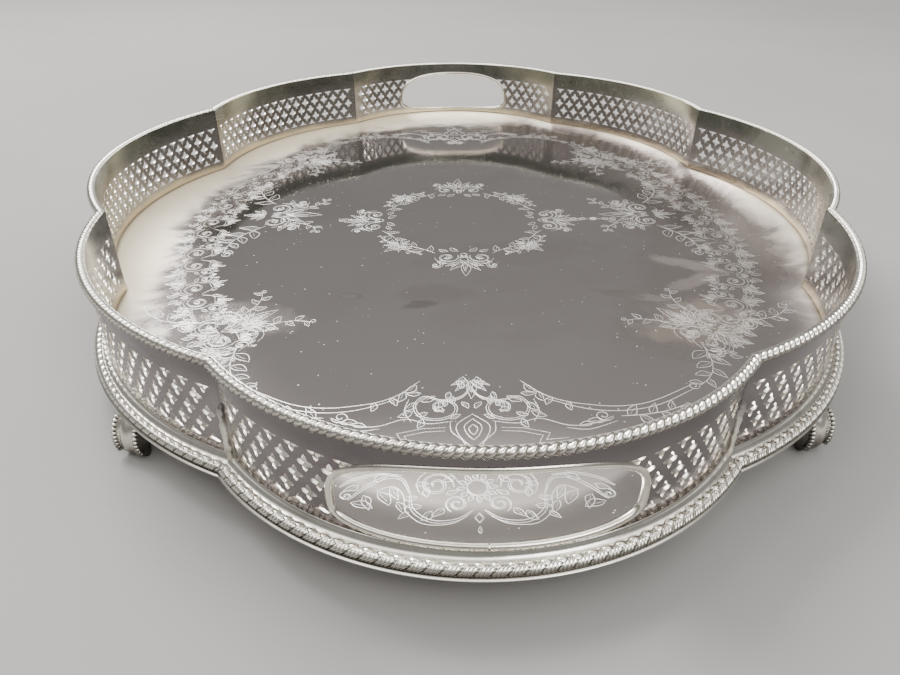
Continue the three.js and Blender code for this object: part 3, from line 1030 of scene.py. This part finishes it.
def engrave(name, strokes, finish):
    data = bpy.data.curves.new(name, "CURVE")
    data.dimensions = "3D"
    data.bevel_depth = CUT_HALF_WIDTH * MM
    data.bevel_resolution = 0
    data.use_fill_caps = True
    for line, width in strokes:
        heights = [sheet_height(p) for p in line]
        if None not in heights:
            add_cut(data, line, heights, width)
    piece = bpy.data.objects.new(name, data)
    bpy.context.scene.collection.objects.link(piece)
    only(piece)
    bpy.ops.object.convert(target="MESH")
    piece = bpy.context.object
    edit(piece)
    bpy.ops.transform.resize(value=(1, 1, CUT_FLATNESS), center_override=(0, 0, 0))
    done()
    return finish_piece(piece, name, None, "engraved_silver", 60, finish)


bpy.context.view_layer.update()
ENGRAVINGS = {"wreath": wreath_strokes(), "ornaments": ornament_strokes(), "end_ornaments": end_strokes(),
              "lace_right": lace_strokes(1), "lace_left": lace_strokes(-1)}
for group, strokes in ENGRAVINGS.items():
    piece = engrave("engraved_" + group, strokes, "faint_cuts" if "lace" in group else "cuts")
    print(group, len(strokes), "strokes,", triangles(piece), "triangles")

# %% [markdown]
# ## The feet
# Each foot is a small casting: a leaf with a broad ridge bulges past the border and rolls under to
# the sole, a row of beads runs down each of its edges, and the back is plain. The side view is drawn
# as a profile and run across the foot, the ridge is pulled out ring by ring, and beads follow its front.
# It is modelled once, facing -Y, and copied to the four corner arcs.

# %% One foot
FOOT_FACING = math.radians(43.5)
FOOT_TURN = math.radians(25)  # the leaf looks a little more towards the ends than the wall does
FOOT_PIVOT = 7 * MM
FOOT_SET_BACK = 1.2 * MM
FOOT_FRONT = [(6.6, 19.3), (8.4, 18.0), (9.9, 16.2), (11.0, 14.0), (11.6, 11.6), (11.8, 9.2),
              (11.6, 6.8), (11.0, 4.6), (9.9, 2.6), (8.4, 1.0), (6.8, 0.0)]
FOOT_BACK = [(5.2, 0.2), (4.4, 1.4), (4.0, 3.8), (3.6, 6.6), (2.8, 9.8), (1.0, 12.6),
             (-1.4, 14.8), (-2.6, 17.2), (-2.6, 19.3)]
COLLAR = [(-2.2, 19.4), (6.6, 19.4), (7.6, 18.6), (6.6, 17.6), (-1.2, 17.6)]
COLLAR_WIDTH = 12 * MM
LEAF_WIDTH = 9.6
LEAF_RINGS = 12
LEAF_ROOT = 4.5
LEAF_FREE = (LEAF_ROOT + 1.5) * MM  # only what stands further out than this is shaped
LEAF_SWELL = (1.06, 1.045, 0.995, 0.94, 0.92, 0.94, 0.90)  # how far each ring stands out, middle first
EDGE_OUT = 5.2
BEADS = 10
BEAD_HALF = (1.3, 1.5, 0.86)
BEAD_IN = 0.7
BEAD_END = 0.72  # how far down the front the beads go


def along_front(share):
    """A place on the leaf's front line and the angle it faces, for a share of the way down."""
    k = min(int(share * (len(FOOT_FRONT) - 1)), len(FOOT_FRONT) - 2)
    t = share * (len(FOOT_FRONT) - 1) - k
    a, b = Vector(FOOT_FRONT[k]), Vector(FOOT_FRONT[k + 1])
    return a.lerp(b, t), math.atan2(a.x - b.x, a.y - b.y)


def make_foot():
    leaf_body = bar("leaf", FOOT_FRONT + FOOT_BACK, LEAF_WIDTH * MM, LEAF_WIDTH / LEAF_RINGS * MM)
    step = LEAF_WIDTH / LEAF_RINGS * MM
    for ring, swell in enumerate(LEAF_SWELL):
        for side in {ring, -ring}:
            edit(leaf_body, lambda p: abs(p.x - side * step) < step / 3 and p.y < -LEAF_FREE)
            bpy.ops.transform.resize(value=(1, swell, 1), center_override=(0, -LEAF_ROOT * MM, 0))
            done()
    beads = []
    for side in (-1, 1):
        for k in range(BEADS):
            place, face = along_front(BEAD_END * (k + 0.9) / BEADS)
            centre = (side * EDGE_OUT, -place.x + BEAD_IN, place.y)
            beads.append(bead(BEAD_HALF, centre, face, (1, 0, 0)))
    collar = bar("collar", COLLAR, COLLAR_WIDTH, COLLAR_WIDTH / 4)
    apply_modifier(collar, "BEVEL", width=0.5 * MM, segments=2)
    whole = join("foot", leaf_body, collar, *beads)
    low = min(v.co.z for v in whole.data.vertices)
    print("lowest point of the foot, mm:", round(low / MM, 2))
    return whole


foot = make_foot()
print("foot:", triangles(foot), "triangles, size mm", [round(d / MM, 1) for d in foot.dimensions])
for arc in ARCS:
    if "side" in arc["name"] or "handle" in arc["name"]:
        continue
    x, y = (1 if arc["centre"].x > 0 else -1), (1 if arc["centre"].y > 0 else -1)
    way = math.atan2(y * math.sin(FOOT_FACING), x * math.cos(FOOT_FACING))
    leaf_way = way + x * y * FOOT_TURN
    out = Vector((math.cos(way), math.sin(way), 0))
    leaf_out = Vector((math.cos(leaf_way), math.sin(leaf_way), 0))
    piece = copy_of(foot, "foot_copy")
    piece.rotation_euler = (0, 0, way + math.pi / 2 + x * y * FOOT_TURN)
    wall_point = arc["centre"] + out * arc["radius"]
    piece.location = wall_point + (out - leaf_out) * FOOT_PIVOT - out * FOOT_SET_BACK
    fix_place(piece)
    finish_piece(piece, arc["name"] + "_scroll_foot", arc["name"] + "_foot", "foot_silver", 45)
bpy.data.objects.remove(foot)

# %% [markdown]
# ## The solder in the seams
# Where two panels meet, the valley outside is filled with solder. It was run in by hand and never
# dressed, so it is a lumpy bright bead. It stops just above the middle holes, where its top runs out
# into the valley. A thin cylinder is cut into many rings, and its vertices are shaken a little, with
# a fixed seed.

# %% Eight seams
SEAM_RADIUS = 1.35 * MM
SEAM_TOP = 50 * MM  # higher up the joint is too fine to see
SEAM_TIP = 1.6 * MM
SEAM_TIP_SIZE = 0.3
SEAM_SIDES = 9
SEAM_CUTS = 22
SEAM_OUT = 1.05 * MM
SEAM_SHAKE = 0.9 * MM


def make_seam(arc, seed):
    point, along = arc["end"], arc["end_mitre"]
    outward = Vector((along.y, -along.x, 0))
    low, high = WALL_BOTTOM, SEAM_TOP
    place = point + outward * SEAM_OUT
    bpy.ops.mesh.primitive_cylinder_add(vertices=SEAM_SIDES, radius=SEAM_RADIUS, depth=high - low,
                                        location=(*place.xy, (low + high) / 2))
    seam = bpy.context.object
    fix_place(seam)
    only(seam)
    bpy.ops.object.mode_set(mode="EDIT")
    bpy.ops.mesh.select_mode(type="EDGE")
    bpy.ops.mesh.select_all(action="DESELECT")
    done()
    for e in seam.data.edges:
        a, b = (seam.data.vertices[i].co for i in e.vertices)
        e.select = abs(a.z - b.z) > MM
    only(seam)
    bpy.ops.object.mode_set(mode="EDIT")
    bpy.ops.mesh.subdivide(number_cuts=SEAM_CUTS)
    bpy.ops.mesh.select_all(action="SELECT")
    bpy.ops.transform.vertex_random(offset=SEAM_SHAKE, uniform=0, normal=0, seed=seed)
    done()
    edit(seam, lambda p: p.z > high - SEAM_TIP)
    bpy.ops.transform.resize(value=(SEAM_TIP_SIZE, SEAM_TIP_SIZE, 1))
    bpy.ops.transform.translate(value=-outward * SEAM_OUT * 0.9)
    done()
    apply_modifier(seam, "SMOOTH", factor=0.5, iterations=2)
    return finish_piece(seam, arc["name"] + "_solder_seam", None, "pierced_silver", 60, "solder")


seams = [make_seam(arc, seed) for seed, arc in enumerate(ARCS)]
print("seams:", len(seams), "of", triangles(seams[0]), "triangles")

# %% [markdown]
# ## Finishes
# All the metal is silver plate, but each part has aged in its own way: raised work is rubbed bright,
# with painted shade in its hollows and low on it; the sheet wall has a thin tarnish, painted shade on
# its outside and painted glints on its punched edges; and the plate is a worn mirror with a creamy bloom
# near the wall whose bright colour is partly a painted reflection, scratches and dust. One function
# builds the shader. It reads Object coordinates, so a pattern runs on from piece to piece, and ambient
# occlusion finds the hollows for the painted shade.

# %% Shader helpers
def node(tree, kind, inputs=None, **settings):
    made_node = tree.nodes.new(kind)
    for key, value in settings.items():
        setattr(made_node, key, value)
    for key, value in (inputs or {}).items():
        if isinstance(value, bpy.types.NodeSocket):
            tree.links.new(value, made_node.inputs[key])
        else:
            made_node.inputs[key].default_value = value
    return made_node


def new_material(name):
    material = bpy.data.materials.new(name)
    material.use_nodes = True
    tree = material.node_tree
    tree.nodes.clear()
    shader = node(tree, "ShaderNodeBsdfPrincipled", {"Metallic": 1.0})
    output = node(tree, "ShaderNodeOutputMaterial")
    tree.links.new(shader.outputs["BSDF"], output.inputs["Surface"])
    place = node(tree, "ShaderNodeTexCoord").outputs["Object"]
    return material, tree, shader, place


def noise(tree, place, scale, detail=4.0, roughness=0.6, distortion=0.0):
    inputs = {"Vector": place, "Scale": scale, "Detail": detail, "Roughness": roughness,
              "Distortion": distortion}
    return node(tree, "ShaderNodeTexNoise", inputs).outputs["Fac"]


def ramp(tree, value, low, high, to_low=0.0, to_high=1.0):
    """A smooth step from one number to another while the value goes from low to high."""
    inputs = {"Value": value, "From Min": low, "From Max": high, "To Min": to_low, "To Max": to_high}
    return node(tree, "ShaderNodeMapRange", inputs, interpolation_type="SMOOTHSTEP").outputs["Result"]


def blend(tree, share, a, b):
    mix = node(tree, "ShaderNodeMix", {"Factor": share}, data_type="RGBA")
    for index, colour in ((6, a), (7, b)):  # the sockets of the two colours
        if isinstance(colour, bpy.types.NodeSocket):
            tree.links.new(colour, mix.inputs[index])
        else:
            mix.inputs[index].default_value = (*colour, 1)
    return mix.outputs[2]


def bump(tree, shader, height, strength, distance):
    made_node = node(tree, "ShaderNodeBump", {"Height": height, "Strength": strength, "Distance": distance})
    tree.links.new(made_node.outputs["Normal"], shader.inputs["Normal"])


# %% Sums, places and hollows
def maths(tree, operation, a, b=0.0):
    return node(tree, "ShaderNodeMath", {0: a, 1: b}, operation=operation).outputs[0]


def times(tree, a, b):
    return maths(tree, "MULTIPLY", a, b)


def plus(tree, a, b):
    return maths(tree, "ADD", a, b)


def unrest(tree, pattern, amount):
    """A noise made to swing round zero, to be added where an edge should be ragged."""
    return times(tree, maths(tree, "SUBTRACT", pattern, 0.5), amount)


def along(tree, place, axis):
    return node(tree, "ShaderNodeSeparateXYZ", {"Vector": place}).outputs[axis]


def mapped(tree, place, kind="POINT", **inputs):
    return node(tree, "ShaderNodeMapping", {"Vector": place, **inputs}, vector_type=kind).outputs["Vector"]


def reach_of(tree, place):
    """How far a place is from the upright middle line."""
    flat = node(tree, "ShaderNodeVectorMath", {0: place, 1: (1, 1, 0)}, operation="MULTIPLY")
    reach = node(tree, "ShaderNodeVectorMath", {0: flat.outputs["Vector"]}, operation="LENGTH")
    return reach.outputs["Value"]


def hollow_shade(tree, size, dark, open_air, most):
    """How deep in a hollow of this size a place is, from most to 0: the mask for painted shade."""
    occlusion = node(tree, "ShaderNodeAmbientOcclusion", {"Distance": size}, samples=6)
    return ramp(tree, occlusion.outputs["AO"], dark, open_air, most, 0.0)


# %% Worn silver
LOW_SHADE_MOST = 0.82
BAND_MOST = 0.85
BAND_WANDER = 6 * MM


def worn_silver(name, clean, tarnish_and_shade_tone, polish, haze, hollow=0.0, hollow_size=1.5 * MM, cloud=14.0,
                amount=0.5, grain=0.12, bands=(), low=None):
    """Silver between a polish and a haze roughness, with tarnished clouds, and painted shade in its
    recesses and low down where asked.
    """
    material, tree, shader, place = new_material(name)
    clouds = ramp(tree, noise(tree, place, cloud, 6, 0.65, 0.6), 0.42, 0.72, 0, amount)
    fine = noise(tree, place, 420, 5, 0.7)
    speckle = ramp(tree, fine, 0.55, 0.8, 0, 0.35)
    tarnish_and_shade = maths(tree, "MAXIMUM", clouds, speckle)
    # painted shade: ambient occlusion darkens the hollows towards the dark tone
    if hollow:
        tarnish_and_shade = maths(tree, "MAXIMUM", tarnish_and_shade, hollow_shade(tree, hollow_size, 0.3, 0.9, hollow))
    colour = blend(tree, tarnish_and_shade, clean, tarnish_and_shade_tone)
    height = along(tree, place, "Z")
    if low:  # painted shade: the dark tone laid over the lower part, starting sharply at one height and fading out between two others
        start, full, end = low
        low_shade_fading = ramp(tree, height, full, end, LOW_SHADE_MOST, 0)
        begun = ramp(tree, height, start, start + 0.4 * MM)
        colour = blend(tree, times(tree, low_shade_fading, begun), colour, tarnish_and_shade_tone)
    for start, full, tone in bands:  # another tone above or below a height, with a wandering edge
        wandering = plus(tree, height, unrest(tree, noise(tree, place, 40), BAND_WANDER))
        colour = blend(tree, ramp(tree, wandering, start, full, 0, BAND_MOST), colour, tone)
    tree.links.new(colour, shader.inputs["Base Color"])
    mixed = plus(tree, times(tree, tarnish_and_shade, 0.6), times(tree, fine, 0.4))
    tree.links.new(ramp(tree, mixed, 0.1, 0.8, polish, haze), shader.inputs["Roughness"])
    bump(tree, shader, fine, grain, 0.3 * MM)
    return material


# %% The silver of each part
DARK_RIM = (52 * MM, 62 * MM, (0.24, 0.26, 0.22))
GOLDEN_FOOT = (30 * MM, 26 * MM, (0.86, 0.74, 0.54))
# painted shadow: a darker band along the top of the outside wall, under the rope
OUTER_RIM_SHADOW = (50 * MM, 62 * MM, (0.15, 0.135, 0.14))
# painted shade: the top of the solder seam takes the dark tone of the outside wall
SEAM_TOP_SHADE = (36 * MM, 47 * MM, (0.30, 0.275, 0.275))

finishes = {
    "pierced_silver": worn_silver(
        "sheet wall silver", (0.50, 0.48, 0.45), (0.20, 0.185, 0.17), 0.14, 0.34,
        amount=0.8, cloud=16, bands=(DARK_RIM, GOLDEN_FOOT)),
    # painted shade: the outside of the sheet is the same silver as the inside, painted darker as if in
    # shade and reflecting dark surroundings
    "shaded_outer_silver": worn_silver(
        "outside of the sheet wall", (0.27, 0.245, 0.245), (0.13, 0.11, 0.115), 0.16, 0.36,
        amount=0.8, cloud=16, bands=(OUTER_RIM_SHADOW,)),
    # painted highlight: the faces the punch left are painted bright as glints
    "glinting_cut_edge": worn_silver("punched edges", (0.97, 0.93, 0.86), (0.60, 0.54, 0.45), 0.22, 0.4),
    "solder": worn_silver(
        "solder", (0.93, 0.91, 0.82), (0.26, 0.23, 0.19), 0.3, 0.5,
        amount=0.8, cloud=90, grain=0.5, bands=(SEAM_TOP_SHADE,)),
    # painted shade: dark tone in the grooves and over the lower half of the rope
    "rope_silver": worn_silver(
        "rope silver", (0.97, 0.93, 0.84), (0.09, 0.07, 0.06), 0.16, 0.38, hollow=1.0,
        hollow_size=1.4 * MM, cloud=40, amount=0.35, low=(60 * MM, 65.9 * MM, 67.9 * MM)),
    # painted shade: dark tone in the grooves and low on the border, over the lip and the lower reeds
    "border_silver": worn_silver(
        "border silver", (0.97, 0.94, 0.85), (0.09, 0.075, 0.055), 0.15, 0.36, hollow=1.0,
        hollow_size=1.4 * MM, cloud=40, amount=0.35, low=(20.3 * MM, 21.9 * MM, 23.5 * MM)),
    "hoop_silver": worn_silver(
        "hoop silver", (0.92, 0.88, 0.78), (0.34, 0.30, 0.23), 0.14, 0.3, amount=0.6, cloud=30),
    # painted shade: dark tone in the recesses and darker towards the bottom of the foot
    "foot_silver": worn_silver(
        "foot silver", (0.86, 0.83, 0.74), (0.06, 0.055, 0.045), 0.22, 0.45, hollow=1.0,
        hollow_size=3.5 * MM, cloud=60, low=(-1 * MM, 3 * MM, 13 * MM)),
    "faint_cuts": worn_silver(
        "worn engraved cuts", (0.86, 0.82, 0.77), (0.60, 0.55, 0.51), 0.34, 0.5, amount=0.7, cloud=30),
    "underside": worn_silver(
        "underside of the plate", (0.60, 0.56, 0.52), (0.30, 0.27, 0.24), 0.25, 0.45, amount=0.8, cloud=12),
    "cuts": worn_silver(
        "engraved cuts", (0.97, 0.94, 0.90), (0.66, 0.61, 0.57), 0.40, 0.55, amount=0.55, cloud=24),
}
print("finishes of worn silver:", len(finishes))

# %% [markdown]
# ### The mirror plate
# The plate is still a mirror in its middle. A cream bloom lies along the wall, thinner on the right: the
# silver there is hazed, and its bright cream colour is a painted reflection of the light on the slope. A
# grey veil reaches further in. Both fade out towards the front. A few brown stains, dust and fine
# scratches lie over it all.

# %% Stains and wear
PLATE_HALF = (0.199, 0.258)
MIRROR = (0.84, 0.78, 0.75)
VEIL = (0.62, 0.55, 0.53)
# painted reflection: the cream band is brighter than the clean mirror, standing for bright light on the
# slope
BLOOM_AND_SHEEN = (1.0, 0.92, 0.74)
CLOUDED = (0.52, 0.46, 0.43)
CORNER_SHADE = (0.16, 0.14, 0.12)
DUST = (0.93, 0.90, 0.86)
STAINS = [  # centre, half size, turn, colour, strength
    ((-0.025, -0.108), (0.010, 0.005), 0.3, (0.16, 0.13, 0.13), 0.6),
    ((-0.062, -0.098), (0.008, 0.004), -0.2, (0.20, 0.17, 0.16), 0.6),
    ((-0.018, -0.096), (0.022, 0.012), 0.1, (0.40, 0.35, 0.35), 0.35),
    ((0.112, -0.128), (0.045, 0.030), 0.5, (0.40, 0.33, 0.27), 0.75),
    ((0.128, -0.062), (0.034, 0.008), -0.5, (0.42, 0.37, 0.33), 0.7),
    ((0.124, -0.084), (0.030, 0.007), 0.6, (0.38, 0.33, 0.30), 0.7),
    ((0.092, -0.100), (0.026, 0.006), -0.3, (0.40, 0.35, 0.31), 0.6),
    ((0.030, -0.045), (0.060, 0.022), 0.2, (0.52, 0.47, 0.44), 0.4),
    ((-0.105, -0.120), (0.035, 0.020), -0.4, (0.50, 0.44, 0.40), 0.45),
]


def patch(tree, place, centre, half_size, turn=0.0):
    """1 in the middle of an oval patch, in metres, and 0 outside it, with a ragged edge."""
    own_place = mapped(tree, place, "TEXTURE", Location=(*centre, 0), Rotation=(0, 0, turn),
                       Scale=(*half_size, 1))
    ragged = unrest(tree, noise(tree, place, 55, 5, 0.65), 1.6)
    return ramp(tree, plus(tree, reach_of(tree, own_place), ragged), 0.35, 1.05, 1.0, 0.0)


def plate_wear(tree, place):
    """How much of the hazed cream band, whose colour is a painted reflection, and of the grey veil lie at a
    place: both grow towards the wall.
    """
    reach = reach_of(tree, mapped(tree, place, "TEXTURE", Scale=(*PLATE_HALF, 1)))
    edge = plus(tree, reach, unrest(tree, noise(tree, place, 26, 6, 0.62, 0.8), 0.27))
    front_fade = ramp(tree, along(tree, place, "Y"), -0.17, -0.10, 0.22, 1.0)
    right = ramp(tree, along(tree, place, "X"), -0.02, 0.12)
    drawn_back = maths(tree, "SUBTRACT", edge, times(tree, right, 0.075))
    bloom_and_sheen = times(tree, ramp(tree, drawn_back, 0.85, 0.97), front_fade)
    bloom_and_sheen = times(tree, bloom_and_sheen, maths(tree, "SUBTRACT", 1.0, times(tree, right, 0.3)))
    veil = times(tree, ramp(tree, plus(tree, edge, times(tree, right, 0.16)), 0.66, 0.86), front_fade)
    return bloom_and_sheen, veil


def dust_on(tree, place):
    specks = node(tree, "ShaderNodeTexVoronoi", {"Vector": place, "Scale": 260, "Randomness": 1.0})
    dust = ramp(tree, specks.outputs["Distance"], 0.05, 0.14, 0.75, 0.0)
    return times(tree, dust, ramp(tree, noise(tree, place, 60, 2), 0.5, 0.6))


def scratches_on(tree, place):
    """Long thin noise in two directions."""
    strokes = []
    for turn, scale in ((0.4, (9, 900, 1)), (-0.9, (8, 700, 1))):
        stretched = mapped(tree, mapped(tree, place, Rotation=(0, 0, turn)), Scale=scale)
        strokes.append(ramp(tree, noise(tree, stretched, 1.0, 2, 0.5), 0.66, 0.72))
    return maths(tree, "MAXIMUM", *strokes)


# %% The mirror
def plate_silver():
    material, tree, shader, place = new_material("mirror plate silver")
    bloom_and_sheen, veil = plate_wear(tree, place)
    clouds = ramp(tree, noise(tree, place, 9, 6, 0.6, 0.5), 0.45, 0.75)
    colour = blend(tree, veil, MIRROR, VEIL)
    # painted reflection: the hazed band near the wall takes the bright cream colour
    colour = blend(tree, bloom_and_sheen, colour, BLOOM_AND_SHEEN)
    colour = blend(tree, times(tree, clouds, 0.3), colour, CLOUDED)
    stained = 0.0
    for centre, half_size, turn, stain, strength in STAINS:
        share = times(tree, patch(tree, place, centre, half_size, turn), strength)
        colour = blend(tree, share, colour, stain)
        stained = maths(tree, "MAXIMUM", stained, share)
    # painted shade: ambient occlusion darkens the plate where it meets the wall
    colour = blend(tree, hollow_shade(tree, 5 * MM, 0.45, 0.8, 0.9), colour, CORNER_SHADE)
    dust = dust_on(tree, place)
    tree.links.new(blend(tree, dust, colour, DUST), shader.inputs["Base Color"])
    rough = plus(tree, 0.05, times(tree, bloom_and_sheen, 0.46))
    slope = ramp(tree, along(tree, place, "Z"), PLATE_TOP, LEDGE_TOP)
    for share, most in ((veil, 0.15), (clouds, 0.07), (dust, 0.5), (stained, 0.25), (slope, 0.08)):
        rough = plus(tree, rough, times(tree, share, most))
    tree.links.new(rough, shader.inputs["Roughness"])
    fine = noise(tree, place, 900, 3, 0.7)
    relief = plus(tree, times(tree, scratches_on(tree, place), 0.05), times(tree, fine, 0.12))
    relief = plus(tree, relief, times(tree, noise(tree, place, 14, 2), 1.2))
    bump(tree, shader, relief, 0.12, 0.5 * MM)
    return material


finishes["engraved_silver"] = plate_silver()
print("stains on the plate:", len(STAINS))

# %% Giving each piece its finish
FACING = 0.5  # a face faces a way when its normal goes at least this far that way

for finish, pieces in made.items():
    for piece in pieces:
        piece.data.materials.clear()
        piece.data.materials.append(finishes[finish])
plate.data.materials.append(finishes["underside"])
for face in plate.data.polygons:
    if face.normal.z < -FACING:
        face.material_index = 1
for arc in ARCS:  # the faces that the punch left, and the sheet's edges, are brighter than the sheet: a painted glint
    panel = bpy.data.objects[arc["name"] + "_pierced_wall"]
    panel.data.materials.append(finishes["glinting_cut_edge"])
    panel.data.materials.append(finishes["shaded_outer_silver"])
    edges = 0
    for face in panel.data.polygons:
        radial = (face.center - arc["centre"]).to_2d().normalized()
        facing_out = face.normal.to_2d().dot(radial)
        if abs(facing_out) < FACING:
            face.material_index = 1
            edges += 1
        # the outside faces take the painted shade of the outside finish
        elif facing_out > 0:
            face.material_index = 2
    print(panel.name, "punched faces:", edges)
print("finishes:", sorted(finishes))

# %% [markdown]
# ## Floor, light and camera
# The tray stands on a plain pale floor under soft light from above and behind, like an overcast
# window. The sky is darker near the horizon, so that the flat mirror of the plate shows a quiet
# middle tone and the raised work stands out bright against it.

# %% Floor
bpy.ops.mesh.primitive_plane_add(size=8)
floor = bpy.context.object
floor.name = "floor"
material, tree, shader, place = new_material("pale floor")
shader.inputs["Metallic"].default_value = 0.0
shader.inputs["Roughness"].default_value = 0.85
mottle = ramp(tree, noise(tree, place, 3, 3), 0.3, 0.7)
tree.links.new(blend(tree, mottle, (0.33, 0.32, 0.31), (0.35, 0.34, 0.33)), shader.inputs["Base Color"])
floor.data.materials.append(material)

# %% Sky and lamps
SKY = [(0.0, 0.34), (0.12, 0.27), (0.35, 0.24), (0.62, 0.31),
       (0.74, 1.6), (0.84, 2.8), (0.94, 1.8), (1.0, 0.9)]  # sine of the height, brightness

world = bpy.data.worlds.new("studio")
bpy.context.scene.world = world
world.use_nodes = True
tree = world.node_tree
tree.nodes.clear()
way = node(tree, "ShaderNodeTexCoord").outputs["Generated"]
sky = node(tree, "ShaderNodeValToRGB", {"Fac": along(tree, way, "Z")})
while len(sky.color_ramp.elements) < len(SKY):
    sky.color_ramp.elements.new(0.5)
for element, (height, value) in zip(sky.color_ramp.elements, SKY):
    element.position = height
    element.color = (value, value * 0.985, value * 0.96, 1)
background = node(tree, "ShaderNodeBackground", {"Color": sky.outputs["Color"], "Strength": 1.0})
tree.links.new(background.outputs["Background"], node(tree, "ShaderNodeOutputWorld").inputs["Surface"])


def soft_lamp(name, place, size, power):
    """A rectangular lamp that looks at the middle of the tray."""
    bpy.ops.object.light_add(type="AREA", location=place)
    lamp = bpy.context.object
    lamp.name = name
    lamp.data.shape = "RECTANGLE"
    lamp.data.size, lamp.data.size_y = size
    lamp.data.energy = power
    lamp.rotation_euler = (-Vector(place)).to_track_quat("-Z", "Y").to_euler()
    return lamp


soft_lamp("window", (-0.9, 0.9, 1.7), (1.2, 1.2), 66)
soft_lamp("room", (0.7, -1.3, 1.3), (1.0, 0.8), 12)

# %% Camera
EYE = Vector((-15.0, -415.7, 193.7)) * MM
YAW, TILT, ROLL = -0.019, 0.562, 0.004
LENS = 27.38
SENSOR = 36

ahead = Vector((-math.sin(YAW) * math.cos(TILT), math.cos(YAW) * math.cos(TILT), -math.sin(TILT)))
level = Vector((math.cos(YAW), math.sin(YAW), 0))
side = math.cos(ROLL) * level + math.sin(ROLL) * level.cross(ahead)
camera_data = bpy.data.cameras.new("camera")
camera_data.lens = LENS
camera_data.sensor_width = SENSOR
camera_data.clip_start = 0.01
camera = bpy.data.objects.new("camera", camera_data)
bpy.context.scene.collection.objects.link(camera)
turned = Matrix((side, side.cross(ahead), -ahead)).transposed().to_4x4()
turned.translation = EYE
camera.matrix_world = turned
bpy.context.scene.camera = camera
print("camera at, mm:", [round(v / MM, 1) for v in EYE])
